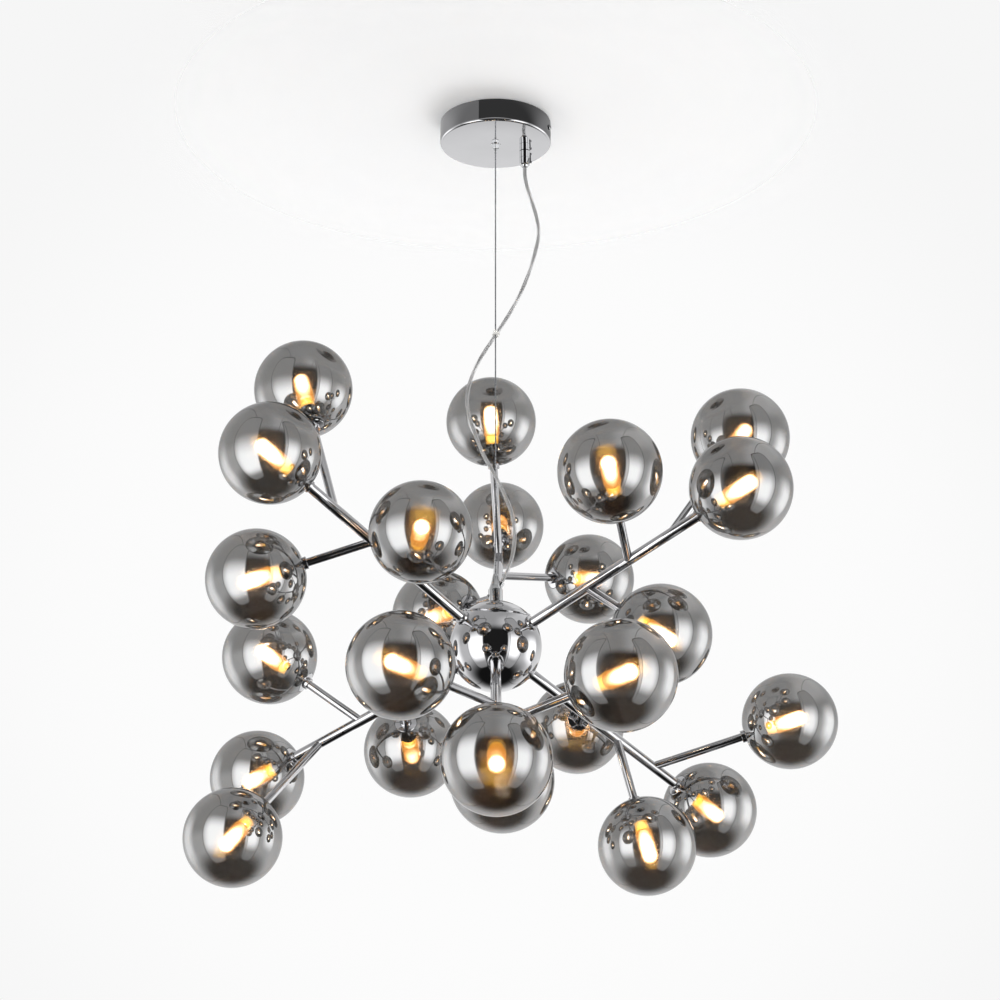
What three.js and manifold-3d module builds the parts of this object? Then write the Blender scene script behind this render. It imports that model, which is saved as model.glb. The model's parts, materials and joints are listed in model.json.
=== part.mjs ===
// A ceiling pendant light. A round canopy holds a steel wire and a clear power cord. The wire
// carries a ball hub, and six arms leave the hub in all directions. Each arm is a tube with three
// side branches, and carries four round glass globes with a lamp inside.
// Millimetres, +Z up. The origin is on the ceiling, in the middle of the canopy.

import * as THREE from 'three';
import { mergeVertices } from 'three/addons/utils/BufferGeometryUtils.js';
import Module from 'manifold-3d';

const wasm = await Module();
wasm.setup();

// Fits
const seatGap = 0.3;
const turningGap = 0.35;
const cutOverrun = 1;

// Sides of the round pieces
const canopySides = 32;
const hubSides = 20;
const mountSides = 24;
const fittingSides = 12;
const thinSides = 8;
const globeSides = 10;
const globeOuterRings = 6;
const globeInnerRings = 3;
const hexSides = 6;
const leadSides = 5;

// Canopy
const canopyDiameter = 120;
const canopyEdgeRounding = 2.5;
const canopyHeight = 25;
const canopyWall = 1.2;

// Ceiling bracket and the two side screws that hold the canopy to it
const bracketTurn = -15;
const bracketWidth = 22;
const bracketThickness = 2;
const bracketEarHeight = 16;
const bracketHoleSpacing = 76;
const bracketHoleDiameter = 5;
const sideScrewDepth = 12;
const sideScrewThread = 3.4;
const sideScrewHeadDiameter = 6.4;
const sideScrewHeadHeight = 2.2;
const sideScrewReach = 5;

// Terminal block under the bracket
const terminalLength = 26;
const terminalWidth = 14;
const terminalHeight = 11;
const terminalOffset = 16;
const terminalPoles = 3;
const terminalWellDiameter = 4;
const terminalWellDepth = 6;

// Wire gripper in the middle of the canopy floor, with its release nipple
const gripperHexWidth = 8;
const gripperHexHeight = 5.2;
const gripperStemDiameter = 7;
const gripperStemHeight = 8.5;
const gripperMouthHeight = 1.4;
const nippleDiameter = 3.6;
const nippleFlangeDiameter = 4.8;
const nippleFlangeHeight = 1.5;
const nippleConeLength = 5.3;
const nippleTipDiameter = 2.4;
const nippleTravel = 2;
const lockNutHeight = 3.2;
const lockNutRim = 3.2;

// Cord grip on the canopy floor, off centre
const cordGripX = 32;
const cordGripY = 16.2;
const cordGripDiameter = 11.4;
const cordGripLength = 16;
const cordGripTaper = 3;
const cordGripTipDiameter = 6.6;
const cordGripStemDiameter = 9.6;
const cordGripStemHeight = 8.5;
const clampScrewDiameter = 3.6;
const clampScrewProud = 1.4;

// Suspension
const hubDrop = 582.5;
const wireDiameter = 1.5;
const wireSteps = 8;
const cordDiameter = 4.3;
const cordSides = 8;
const cordSteps = 44;

// Clip that ties the cord to the wire
const clipLength = 7;
const clipWall = 1.5;

// The cord's way from the cord grip to the hub, between its two ends
const cordRoute = [
  [32.0, 16.2, -52.0],
  [33.4, 15.9, -63.0],
  [38.1, 14.9, -81.0],
  [44.5, 13.2, -105.3],
  [46.5, 12.0, -122.3],
  [42.7, 10.3, -146.3],
  [31.1, 7.6, -184.4],
  [17.9, 5.5, -213.4],
  [4.9, 4.4, -236.2],
  [0.6, 4.3, -243.0],
  [-5.0, 4.2, -252.2],
  [-17.4, 3.6, -273.4],
  [-25.9, 2.6, -294.2],
  [-29.3, 1.4, -311.3],
  [-29.0, -0.2, -329.4],
  [-21.8, -1.8, -354.2],
  [-12.4, -3.4, -379.9],
  [-2.5, -4.4, -398.7],
  [7.0, -3.9, -418.0],
  [16.6, -2.7, -442.5],
  [19.6, -1.9, -463.7],
  [17.9, -1.1, -484.7],
  [13.4, -0.5, -500.5],
  [9.2, 0.0, -509.8],
];
const clipPointIndex = 9;

// Hub
const hubDiameter = 94;
const hubWall = 1.5;
const hubSeamShare = 0.698;
const hubSeamLean = 9.3;
const hubSeamLeanAzimuth = 298;
const hubFlatDiameter = 15;
const hubRings = 9;
const hubInnerRings = 6;

// Gland on top of the hub, for the wire and the cord
const glandDiameter = 14.6;
const glandBaseHeight = 13;
const glandConeHeight = 16;
const glandTipDiameter = 5.2;
const glandStemDiameter = 8;
const glandBossDiameter = 6.4;
const glandBossTilt = 28;
const glandBossLength = 9.5;
const glandBossOffset = 2.2;
const glandBossSink = 1.2;

// Round connector block inside the hub, on the gland's stem
const connectorDiameter = 18;
const connectorHeight = 16;
const connectorTop = 10;

// Arms
const armTubeDiameter = 10.5;
const armTubeWall = 1;
const armReach = 309;
const armLengthInHub = 9.5;
const armFlangeDiameter = 16;
const armFlangeThickness = 2;
const armNutWidth = 14;
const armNutHeight = 3;
const branchTubeDiameter = 8.6;
const branchTubeWall = 1;
const branchLean = 60.5;
const branchStartShares = [0.385, 0.555, 0.725];
const firstBranchLength = 91;
const branchLengthStep = 30;
const branchTurns = [0, 231, 120];

// Where each arm points, and how far it is turned about its own axis, in degrees
const arms = [
  { name: 'upper_left', azimuth: 215.2, elevation: 30.4, turn: 356.5 },
  { name: 'upper_right', azimuth: 325.6, elevation: 22.6, turn: 286.6 },
  { name: 'upper_back', azimuth: 88.8, elevation: 39.2, turn: 326.5 },
  { name: 'lower_front', azimuth: 270.2, elevation: -31.4, turn: 274.3 },
  { name: 'lower_back_left', azimuth: 151.2, elevation: -21.1, turn: 198.4 },
  { name: 'lower_back_right', azimuth: 33.9, elevation: -27.6, turn: 17.6 },
];

// Globes, and the lampholder cap that each one screws onto
const globeDiameter = 100;
const globeWall = 2;
const globeNeckLength = 7;
const globeNeckWall = 1.6;
const capDiameter = 23.2;
const capThickness = 3;
const collarDiameter = 13;
const collarLength = 3.4;

// Lampholder and lamp, on leads that run inside the tubes
const holderDiameter = 18;
const holderLength = 20;
const lampBaseDiameter = 14.4;
const lampBaseLength = 9;
const lampDiameter = 17;
const lampLength = 36;
const lampShoulder = 2.5;
const lampCrown = 4;
const mainLeadDiameter = 4;
const branchLeadDiameter = 3;
const leadStart = 15;

const canopyRadius = canopyDiameter / 2;
const canopyFloorInside = -canopyHeight + canopyWall;
const hubRadius = hubDiameter / 2;
const hubInnerRadius = hubRadius - hubWall;
const hubSeamHeight = hubRadius * hubSeamShare;
const armInnerEnd = hubInnerRadius - armLengthInHub;
const globeRadius = globeDiameter / 2;
const capRadius = capDiameter / 2;
const canopyUnderside = -canopyHeight - seatGap;

const chrome = { color: 0xd9dadb, roughness: 0.06, metalness: 1 };
const zincSteel = { color: 0xa9acae, roughness: 0.4, metalness: 0.9 };
const brightSteel = { color: 0xb9bcc0, roughness: 0.25, metalness: 1 };
const smokedGlass = { color: 0x75777a, roughness: 0.05, metalness: 0.9 };
const lampGlass = { color: 0xffdca3, roughness: 0.35, metalness: 0 };
const clearCord = { color: 0xdcdcd8, roughness: 0.3, metalness: 0 };
const clearPlastic = { color: 0xe4e3df, roughness: 0.25, metalness: 0 };
const whitePlastic = { color: 0xe9e7e1, roughness: 0.5, metalness: 0 };

function solidOf(geometry) {
  geometry.deleteAttribute('normal');
  geometry.deleteAttribute('uv');
  const merged = mergeVertices(geometry);
  const corners = merged.index.array;
  const triangles = [];
  for (let i = 0; i < corners.length; i += 3) {
    const [a, b, c] = corners.subarray(i, i + 3);
    if (a !== b && b !== c && c !== a) {
      triangles.push(a, b, c);
    }
  }
  return new wasm.Manifold(new wasm.Mesh({
    numProp: 3,
    vertProperties: new Float32Array(merged.attributes.position.array),
    triVerts: new Uint32Array(triangles),
  }));
}

function geometryOf(solid) {
  const mesh = solid.getMesh();
  const geometry = new THREE.BufferGeometry();
  geometry.setAttribute('position', new THREE.BufferAttribute(mesh.vertProperties, 3));
  geometry.setIndex(new THREE.BufferAttribute(mesh.triVerts, 1));
  geometry.computeVertexNormals();
  return geometry;
}

function piece(name, solid, finish) {
  const mesh = new THREE.Mesh(geometryOf(solid), new THREE.MeshStandardMaterial(finish));
  mesh.name = name;
  return mesh;
}

// The radius of a hole with flat sides that a round piece passes with the gap given.
function holeRadius(diameter, gap, sides) {
  return (diameter / 2 + gap) / Math.cos(Math.PI / sides);
}

function round(radius, low, high, sides) {
  const geometry = new THREE.CylinderGeometry(radius, radius, high - low, sides);
  return geometry.rotateX(Math.PI / 2).translate(0, 0, (low + high) / 2);
}

function taper(lowRadius, highRadius, low, high, sides) {
  const geometry = new THREE.CylinderGeometry(highRadius, lowRadius, high - low, sides);
  return geometry.rotateX(Math.PI / 2).translate(0, 0, (low + high) / 2);
}

function block(length, width, low, high) {
  return new THREE.BoxGeometry(length, width, high - low).translate(0, 0, (low + high) / 2);
}

function hexagon(widthAcrossFlats, low, high) {
  return round(widthAcrossFlats / 2 / Math.cos(Math.PI / hexSides), low, high, hexSides);
}

// A turned piece. Its outline is a list of [radius, height] that runs upwards on the outside.
function turned(outline, sides) {
  const points = outline.map(([radius, height]) => new THREE.Vector2(radius, height));
  return new THREE.LatheGeometry(points, sides).rotateX(Math.PI / 2);
}

// Points of an arc in the outline's plane, from one angle above the horizontal to another.
function arc(radius, fromAngle, toAngle, steps) {
  return Array.from({ length: steps + 1 }, (unused, i) => {
    const angle = fromAngle + ((toAngle - fromAngle) * i) / steps;
    return [radius * Math.cos(angle), radius * Math.sin(angle)];
  });
}

function tubeAlong(curve, radius, sides, steps) {
  const section = new THREE.Shape();
  for (let i = 0; i < sides; i += 1) {
    const angle = (2 * Math.PI * i) / sides;
    const corner = [radius * Math.cos(angle), radius * Math.sin(angle)];
    if (i === 0) {
      section.moveTo(...corner);
    } else {
      section.lineTo(...corner);
    }
  }
  section.closePath();
  return new THREE.ExtrudeGeometry(section, { steps, bevelEnabled: false, extrudePath: curve });
}

// Turns a piece that stands along +Z so that it points along the direction, from the point given.
function aimed(geometry, direction, origin) {
  const turn = new THREE.Quaternion().setFromUnitVectors(new THREE.Vector3(0, 0, 1), direction);
  return geometry.applyQuaternion(turn).translate(origin.x, origin.y, origin.z);
}

function lockNut(name, stemDiameter, low) {
  const nut = solidOf(hexagon(stemDiameter + 2 * lockNutRim, low, low + lockNutHeight));
  const hole = round(
    holeRadius(stemDiameter, seatGap, fittingSides),
    low - cutOverrun,
    low + lockNutHeight + cutOverrun,
    fittingSides,
  );
  return piece(name, nut.subtract(solidOf(hole)), zincSteel);
}

function radialHole(diameter, gap, from, to, depth) {
  const bore = round(holeRadius(diameter, gap, thinSides), from, to, thinSides);
  return bore.rotateY(Math.PI / 2).translate(0, 0, -depth);
}

function canopyCover() {
  const edge = canopyEdgeRounding;
  const floorRadius = canopyRadius - edge;
  const insideEdge = edge - canopyWall;
  const outline = [
    [0, -canopyHeight],
    ...arc(edge, -Math.PI / 2, 0, 3).map(([r, z]) => [floorRadius + r, edge - canopyHeight + z]),
    [canopyRadius, 0],
    [canopyRadius - canopyWall, 0],
    [floorRadius + insideEdge, edge - canopyHeight],
    [floorRadius, canopyFloorInside],
    [0, canopyFloorInside],
  ];
  const low = -canopyHeight - cutOverrun;
  const high = canopyFloorInside + cutOverrun;
  const gripperHoleRadius = holeRadius(gripperStemDiameter, seatGap, fittingSides);
  const gripperHole = round(gripperHoleRadius, low, high, fittingSides);
  const cordHoleRadius = holeRadius(cordGripStemDiameter, seatGap, fittingSides);
  const cordHole = round(cordHoleRadius, low, high, fittingSides).translate(cordGripX, cordGripY, 0);
  let cover = solidOf(turned(outline, canopySides))
    .subtract(solidOf(gripperHole))
    .subtract(solidOf(cordHole));
  for (const side of [0, 180]) {
    const from = canopyRadius - canopyWall - cutOverrun;
    const hole = radialHole(sideScrewThread, seatGap, from, canopyRadius + cutOverrun, sideScrewDepth)
      .rotateZ(THREE.MathUtils.degToRad(bracketTurn + side));
    cover = cover.subtract(solidOf(hole));
  }
  return piece('canopy_cover', cover, chrome);
}

function bracketReach() {
  const inside = (canopyRadius - canopyWall) * Math.cos(Math.PI / canopySides) - seatGap;
  return Math.sqrt(inside * inside - (bracketWidth * bracketWidth) / 4);
}

function ceilingBracket() {
  const reach = bracketReach();
  let bracket = solidOf(block(2 * reach, bracketWidth, -bracketThickness, 0));
  for (const side of [-1, 1]) {
    const ear = block(bracketThickness, bracketWidth, -bracketEarHeight, 0)
      .translate(side * (reach - bracketThickness / 2), 0, 0);
    bracket = bracket.add(solidOf(ear));
    const hole = round(bracketHoleDiameter / 2, -bracketThickness - cutOverrun, cutOverrun, mountSides)
      .translate((side * bracketHoleSpacing) / 2, 0, 0);
    bracket = bracket.subtract(solidOf(hole));
  }
  for (const side of [0, Math.PI]) {
    const from = reach - bracketThickness - cutOverrun;
    const bore = radialHole(sideScrewThread, seatGap, from, reach + cutOverrun, sideScrewDepth);
    bracket = bracket.subtract(solidOf(bore.rotateZ(side)));
  }
  return piece('ceiling_bracket', bracket, zincSteel);
}

function sideScrew(name, side) {
  const seat = canopyRadius + seatGap;
  const shankEnd = bracketReach() - sideScrewReach;
  const shank = round(sideScrewThread / 2, shankEnd, seat + sideScrewHeadHeight / 4, thinSides);
  const head = taper(
    sideScrewHeadDiameter / 2,
    sideScrewHeadDiameter / 2 - sideScrewHeadHeight / 4,
    seat,
    seat + sideScrewHeadHeight,
    fittingSides,
  );
  const screw = solidOf(shank).add(solidOf(head));
  const mesh = piece(name, screw, chrome);
  mesh.position.z = -sideScrewDepth;
  mesh.rotation.order = 'ZYX';
  mesh.rotation.set(0, Math.PI / 2, THREE.MathUtils.degToRad(side));
  return mesh;
}

function terminalBlock() {
  const top = -bracketThickness - seatGap;
  const bottom = top - terminalHeight;
  let terminal = solidOf(block(terminalLength, terminalWidth, bottom, top));
  for (let pole = 0; pole < terminalPoles; pole += 1) {
    const x = ((2 * pole + 1) / terminalPoles - 1) * (terminalLength / 2);
    const wellTop = bottom + terminalWellDepth;
    const well = round(terminalWellDiameter / 2, bottom - cutOverrun, wellTop, thinSides);
    terminal = terminal.subtract(solidOf(well.translate(x, 0, 0)));
  }
  const mesh = piece('ceiling_terminal_block', terminal, whitePlastic);
  mesh.position.x = -terminalOffset;
  return mesh;
}

const gripperBottom = canopyUnderside - gripperHexHeight;
const nippleSeat = gripperBottom + gripperMouthHeight + seatGap;
const nippleTip = gripperBottom - nippleConeLength;

function wireGripper() {
  const stemTop = canopyUnderside + gripperStemHeight;
  const chamberTop = nippleSeat + nippleFlangeHeight + nippleTravel + seatGap;
  const hex = solidOf(hexagon(gripperHexWidth, gripperBottom, canopyUnderside));
  const stem = round(gripperStemDiameter / 2, gripperBottom + gripperMouthHeight, stemTop, fittingSides);
  const mouthRadius = holeRadius(nippleDiameter, seatGap, fittingSides);
  const mouth = round(mouthRadius, gripperBottom - cutOverrun, nippleSeat, fittingSides);
  const chamberRadius = holeRadius(nippleFlangeDiameter, seatGap, fittingSides);
  const chamber = round(chamberRadius, nippleSeat - seatGap, chamberTop, fittingSides);
  const gripper = hex.add(solidOf(stem)).subtract(solidOf(mouth)).subtract(solidOf(chamber));
  return piece('wire_gripper', gripper, chrome);
}

// The nipple's flange rests in the gripper's chamber, over the narrower mouth.
function releaseNipple() {
  const outline = [
    [0, nippleTip],
    [nippleTipDiameter / 2, nippleTip],
    [nippleDiameter / 2, gripperBottom],
    [nippleDiameter / 2, nippleSeat],
    [nippleFlangeDiameter / 2, nippleSeat],
    [nippleFlangeDiameter / 2, nippleSeat + nippleFlangeHeight],
    [0, nippleSeat + nippleFlangeHeight],
  ];
  return piece('gripper_release_nipple', solidOf(turned(outline, fittingSides)), brightSteel);
}

const cordGripTip = canopyUnderside - cordGripLength - cordGripTaper;

function cordGrip() {
  const bodyBottom = canopyUnderside - cordGripLength;
  const outline = [
    [0, cordGripTip],
    [cordGripTipDiameter / 2, cordGripTip],
    [cordGripDiameter / 2, bodyBottom],
    [cordGripDiameter / 2, canopyUnderside],
    [cordGripStemDiameter / 2, canopyUnderside],
    [cordGripStemDiameter / 2, canopyUnderside + cordGripStemHeight],
    [0, canopyUnderside + cordGripStemHeight],
  ];
  const clampScrew = round(clampScrewDiameter / 2, 0, cordGripDiameter / 2 + clampScrewProud, thinSides)
    .rotateY(Math.PI / 2)
    .translate(0, 0, canopyUnderside - cordGripLength / 2);
  const grip = solidOf(turned(outline, fittingSides)).add(solidOf(clampScrew));
  const mesh = piece('canopy_cord_grip', grip, chrome);
  mesh.position.set(cordGripX, cordGripY, 0);
  return mesh;
}

// Heights of the hub's pieces are from the hub's centre.
const lidTop = Math.sqrt(hubRadius * hubRadius - (hubFlatDiameter * hubFlatDiameter) / 4);
const glandBottom = lidTop + seatGap;
const glandShoulder = glandBottom + glandBaseHeight;
const glandTip = glandShoulder + glandConeHeight;
const bossDirection = new THREE.Vector3(
  Math.sin(THREE.MathUtils.degToRad(glandBossTilt)),
  0,
  Math.cos(THREE.MathUtils.degToRad(glandBossTilt)),
);
const bossStart = new THREE.Vector3(glandBossOffset, 0, glandShoulder - glandBossSink);

function suspensionWire() {
  const top = nippleTip - seatGap;
  const bottom = glandTip + seatGap - hubDrop;
  const line = new THREE.LineCurve3(new THREE.Vector3(0, 0, bottom), new THREE.Vector3(0, 0, top));
  const wire = tubeAlong(line, wireDiameter / 2, cordSides, wireSteps);
  return piece('suspension_wire', solidOf(wire), brightSteel);
}

function cordCurve() {
  const start = new THREE.Vector3(cordGripX, cordGripY, cordGripTip - seatGap);
  const end = bossStart.clone().addScaledVector(bossDirection, glandBossLength + seatGap);
  end.z -= hubDrop;
  const between = cordRoute.map((point) => new THREE.Vector3(...point));
  return new THREE.CatmullRomCurve3([start, ...between, end]);
}

function powerCord() {
  const cord = tubeAlong(cordCurve(), cordDiameter / 2, cordSides, cordSteps);
  return piece('power_cord', solidOf(cord), clearCord);
}

// Two short sleeves in one: a narrow one on the wire, and a wide one on the slanting cord.
function cordClip() {
  const centre = new THREE.Vector3(...cordRoute[clipPointIndex]);
  const above = new THREE.Vector3(...cordRoute[clipPointIndex - 1]);
  const below = new THREE.Vector3(...cordRoute[clipPointIndex + 1]);
  const along = above.sub(below).normalize();
  const half = clipLength / 2;
  const cordSleeve = round(cordDiameter / 2 + clipWall, -half, half, fittingSides);
  const cordBore = round(
    holeRadius(cordDiameter, seatGap, fittingSides),
    -half - cutOverrun,
    half + cutOverrun,
    fittingSides,
  );
  const wireSleeve = round(wireDiameter / 2 + clipWall, centre.z - half, centre.z + half, fittingSides);
  const wireBore = round(
    holeRadius(wireDiameter, seatGap, thinSides),
    centre.z - half - cutOverrun,
    centre.z + half + cutOverrun,
    thinSides,
  );
  const clip = solidOf(aimed(cordSleeve, along, centre))
    .add(solidOf(wireSleeve))
    .subtract(solidOf(aimed(cordBore, along, centre)))
    .subtract(solidOf(wireBore));
  return piece('cord_clip', clip, clearPlastic);
}

function armDirection({ azimuth, elevation }) {
  const around = THREE.MathUtils.degToRad(azimuth);
  const up = THREE.MathUtils.degToRad(elevation);
  return new THREE.Vector3(
    Math.cos(up) * Math.cos(around),
    Math.cos(up) * Math.sin(around),
    Math.sin(up),
  );
}

const hubInsideTop = lidTop - hubWall;
const nutSeatRadius = (glandStemDiameter / 2 + lockNutRim) / Math.cos(Math.PI / hexSides) + seatGap;
const nutSeatAngle = Math.acos(nutSeatRadius / hubInnerRadius);
const innerRingAngle = (nutSeatAngle + Math.PI / 2) / hubInnerRings;
const hubSeamNormal = armDirection({ azimuth: hubSeamLeanAzimuth, elevation: 90 - hubSeamLean });

// The whole hollow ball, with a flat and the gland's hole on top, before it is parted at the seam.
function hubShell() {
  const topAngle = Math.asin(lidTop / hubRadius);
  const stemHole = holeRadius(glandStemDiameter, seatGap, hubSides);
  const outline = [
    ...arc(hubRadius, -Math.PI / 2, topAngle, hubRings),
    [stemHole, lidTop],
    [stemHole, hubInsideTop],
    [nutSeatRadius / Math.cos(Math.PI / hubSides), hubInsideTop],
    ...arc(hubInnerRadius, nutSeatAngle, -Math.PI / 2, hubInnerRings),
  ];
  return solidOf(turned(outline, hubSides));
}

function hubBowl() {
  const below = hubSeamNormal.clone().negate().toArray();
  let bowl = hubShell().trimByPlane(below, seatGap / 2 - hubSeamHeight);
  for (const arm of arms) {
    const hole = round(
      holeRadius(armTubeDiameter, turningGap, thinSides),
      armInnerEnd,
      hubRadius + cutOverrun,
      thinSides,
    );
    bowl = bowl.subtract(solidOf(aimed(hole, armDirection(arm), new THREE.Vector3())));
  }
  return piece('hub_bowl', bowl, chrome);
}

function hubLid() {
  const lid = hubShell().trimByPlane(hubSeamNormal.toArray(), seatGap / 2 + hubSeamHeight);
  return piece('hub_lid', lid, chrome);
}

function hubGland() {
  const outline = [
    [0, connectorTop + seatGap],
    [glandStemDiameter / 2, connectorTop + seatGap],
    [glandStemDiameter / 2, glandBottom],
    [glandDiameter / 2, glandBottom],
    [glandDiameter / 2, glandShoulder],
    [glandTipDiameter / 2, glandTip],
    [0, glandTip],
  ];
  const boss = round(glandBossDiameter / 2, 0, glandBossLength, fittingSides);
  const gland = solidOf(turned(outline, fittingSides));
  return piece('hub_gland', gland.add(solidOf(aimed(boss, bossDirection, bossStart))), chrome);
}

function hubConnector() {
  const block = round(connectorDiameter / 2, connectorTop - connectorHeight, connectorTop, fittingSides);
  return piece('hub_connector_block', solidOf(block), whitePlastic);
}

// The ends that carry a globe: where the branch starts, its direction and the globe's distance
// along it, with the tube and lead that reach it. The last one is the arm's own end.
function armEnds() {
  const ends = branchTurns.map((turn, i) => {
    const lean = THREE.MathUtils.degToRad(branchLean);
    const around = THREE.MathUtils.degToRad(turn);
    return {
      start: new THREE.Vector3(0, 0, armReach * branchStartShares[i]),
      direction: new THREE.Vector3(
        Math.sin(lean) * Math.cos(around),
        Math.sin(lean) * Math.sin(around),
        Math.cos(lean),
      ),
      distance: firstBranchLength + i * branchLengthStep,
      tubeFrom: 0,
      tubeDiameter: branchTubeDiameter,
      tubeWall: branchTubeWall,
      leadFrom: 0,
      leadDiameter: branchLeadDiameter,
      sides: thinSides,
    };
  });
  ends.push({
    start: new THREE.Vector3(),
    direction: new THREE.Vector3(0, 0, 1),
    distance: armReach,
    tubeFrom: armInnerEnd,
    tubeDiameter: armTubeDiameter,
    tubeWall: armTubeWall,
    leadFrom: leadStart,
    leadDiameter: mainLeadDiameter,
    sides: thinSides,
  });
  return ends;
}

// Heights on the globe's axis are from the globe's centre, and the neck is below it.
function sphereHeight(radius, atRadius) {
  return -Math.sqrt(radius * radius - atRadius * atRadius);
}

const capOutside = sphereHeight(globeRadius, collarDiameter / 2);
const capRim = sphereHeight(globeRadius, capRadius);
const capInside = capRim + capThickness;

function capSolid() {
  return turned([
    [0, capOutside - collarLength],
    [collarDiameter / 2, capOutside - collarLength],
    [collarDiameter / 2, capOutside],
    [capRadius, capRim],
    [capRadius, capInside],
    [0, capInside],
  ], thinSides);
}

function armTubes(name) {
  const ends = armEnds();
  let solid = solidOf(round(
    armFlangeDiameter / 2,
    hubRadius + seatGap,
    hubRadius + seatGap + armFlangeThickness,
    thinSides,
  ));
  for (const end of ends) {
    const capCentre = end.start.clone().addScaledVector(end.direction, end.distance);
    const tubeEnd = end.distance + capOutside;
    const tube = round(end.tubeDiameter / 2, end.tubeFrom, tubeEnd, end.sides);
    solid = solid
      .add(solidOf(aimed(tube, end.direction, end.start)))
      .add(solidOf(aimed(capSolid(), end.direction, capCentre)));
  }
  for (const end of ends) {
    const boreRadius = end.tubeDiameter / 2 - end.tubeWall;
    const boreFrom = end.tubeFrom === 0 ? 0 : end.tubeFrom - cutOverrun;
    const boreEnd = end.distance + capInside + cutOverrun;
    const bore = round(boreRadius, boreFrom, boreEnd, end.sides);
    solid = solid.subtract(solidOf(aimed(bore, end.direction, end.start)));
  }
  return piece(name, solid, chrome);
}

function armLamps(name) {
  const holderStart = capInside + seatGap;
  const baseStart = holderStart + holderLength;
  const bulbStart = baseStart + lampBaseLength;
  const bulbEnd = bulbStart + lampLength;
  const outline = [
    [0, holderStart],
    [holderDiameter / 2, holderStart],
    [holderDiameter / 2, baseStart],
    [lampBaseDiameter / 2, baseStart],
    [lampBaseDiameter / 2, bulbStart],
    [lampDiameter / 2, bulbStart + lampShoulder],
    [lampDiameter / 2, bulbEnd - lampCrown],
    [0, bulbEnd],
  ];
  let solid = null;
  for (const end of armEnds()) {
    const lampCentre = end.start.clone().addScaledVector(end.direction, end.distance);
    const leadEnd = end.distance + holderStart + cutOverrun;
    const lead = round(end.leadDiameter / 2, end.leadFrom, leadEnd, leadSides);
    const set = solidOf(aimed(turned(outline, thinSides), end.direction, lampCentre))
      .add(solidOf(aimed(lead, end.direction, end.start)));
    solid = solid === null ? set : solid.add(set);
  }
  return piece(name, solid, lampGlass);
}

function armNut(name) {
  const wallInside = hubInnerRadius * Math.cos(Math.PI / hubSides) * Math.cos(innerRingAngle / 2);
  const nutRadius = armNutWidth / 2 / Math.cos(Math.PI / hexSides);
  const high = Math.sqrt((wallInside - seatGap) ** 2 - nutRadius ** 2);
  const low = high - armNutHeight;
  const boreRadius = holeRadius(armTubeDiameter, seatGap, thinSides);
  const hole = round(boreRadius, low - cutOverrun, high + cutOverrun, thinSides);
  return piece(name, solidOf(hexagon(armNutWidth, low, high)).subtract(solidOf(hole)), zincSteel);
}

function globeSolid() {
  const neckInside = holeRadius(capDiameter, turningGap, globeSides);
  const neckOutside = neckInside + globeNeckWall;
  const innerRadius = globeRadius - globeWall;
  const rim = sphereHeight(globeRadius, neckInside);
  const neckEnd = rim + globeNeckLength;
  const outline = [
    ...arc(globeRadius, -Math.acos(neckInside / globeRadius), Math.PI / 2, globeOuterRings),
    ...arc(innerRadius, Math.PI / 2, -Math.acos(neckOutside / innerRadius), globeInnerRings),
    [neckOutside, neckEnd],
    [neckInside, neckEnd],
  ];
  outline.push(outline[0]);
  return solidOf(turned(outline, globeSides));
}

function globe(name, end) {
  const mesh = piece(name, globeSolid(), smokedGlass);
  mesh.position.copy(end.start).addScaledVector(end.direction, end.distance);
  mesh.quaternion.setFromUnitVectors(new THREE.Vector3(0, 0, 1), end.direction);
  return mesh;
}

// An arm stands along its own +Z, and its group turns it to its place on the hub.
function armAssembly(arm) {
  const group = new THREE.Group();
  const along = armDirection(arm);
  const around = THREE.MathUtils.degToRad(arm.azimuth);
  const side = new THREE.Vector3(-Math.sin(around), Math.cos(around), 0);
  const top = new THREE.Vector3().crossVectors(along, side);
  const rolled = new THREE.Group();
  rolled.rotation.z = THREE.MathUtils.degToRad(arm.turn);
  rolled.add(armTubes(`${arm.name}_arm`));
  rolled.add(armLamps(`${arm.name}_lamps`));
  rolled.add(armNut(`${arm.name}_arm_nut`));
  armEnds().forEach((end, i) => {
    rolled.add(globe(`${arm.name}_globe_${i + 1}`, end));
  });
  group.quaternion.setFromRotationMatrix(new THREE.Matrix4().makeBasis(side, top, along));
  group.add(rolled);
  return group;
}

const canopy = new THREE.Group();
const bracketGroup = new THREE.Group();
bracketGroup.rotation.z = THREE.MathUtils.degToRad(bracketTurn);
bracketGroup.add(ceilingBracket());
bracketGroup.add(terminalBlock());
bracketGroup.add(sideScrew('canopy_screw_right', 0));
bracketGroup.add(sideScrew('canopy_screw_left', 180));
const cordGripNut = lockNut('cord_grip_nut', cordGripStemDiameter, canopyFloorInside + seatGap);
cordGripNut.position.set(cordGripX, cordGripY, 0);
canopy.add(bracketGroup);
canopy.add(canopyCover());
canopy.add(wireGripper());
canopy.add(lockNut('wire_gripper_nut', gripperStemDiameter, canopyFloorInside + seatGap));
canopy.add(releaseNipple());
canopy.add(cordGrip());
canopy.add(cordGripNut);

const hub = new THREE.Group();
hub.position.z = -hubDrop;
hub.add(hubBowl());
hub.add(hubLid());
hub.add(hubGland());
hub.add(lockNut('hub_gland_nut', glandStemDiameter, lidTop - hubWall - seatGap - lockNutHeight));
hub.add(hubConnector());
for (const arm of arms) {
  hub.add(armAssembly(arm));
}

const pendant = new THREE.Group();
pendant.add(canopy);
pendant.add(suspensionWire());
pendant.add(powerCord());
pendant.add(cordClip());
pendant.add(hub);

export default pendant;
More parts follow.
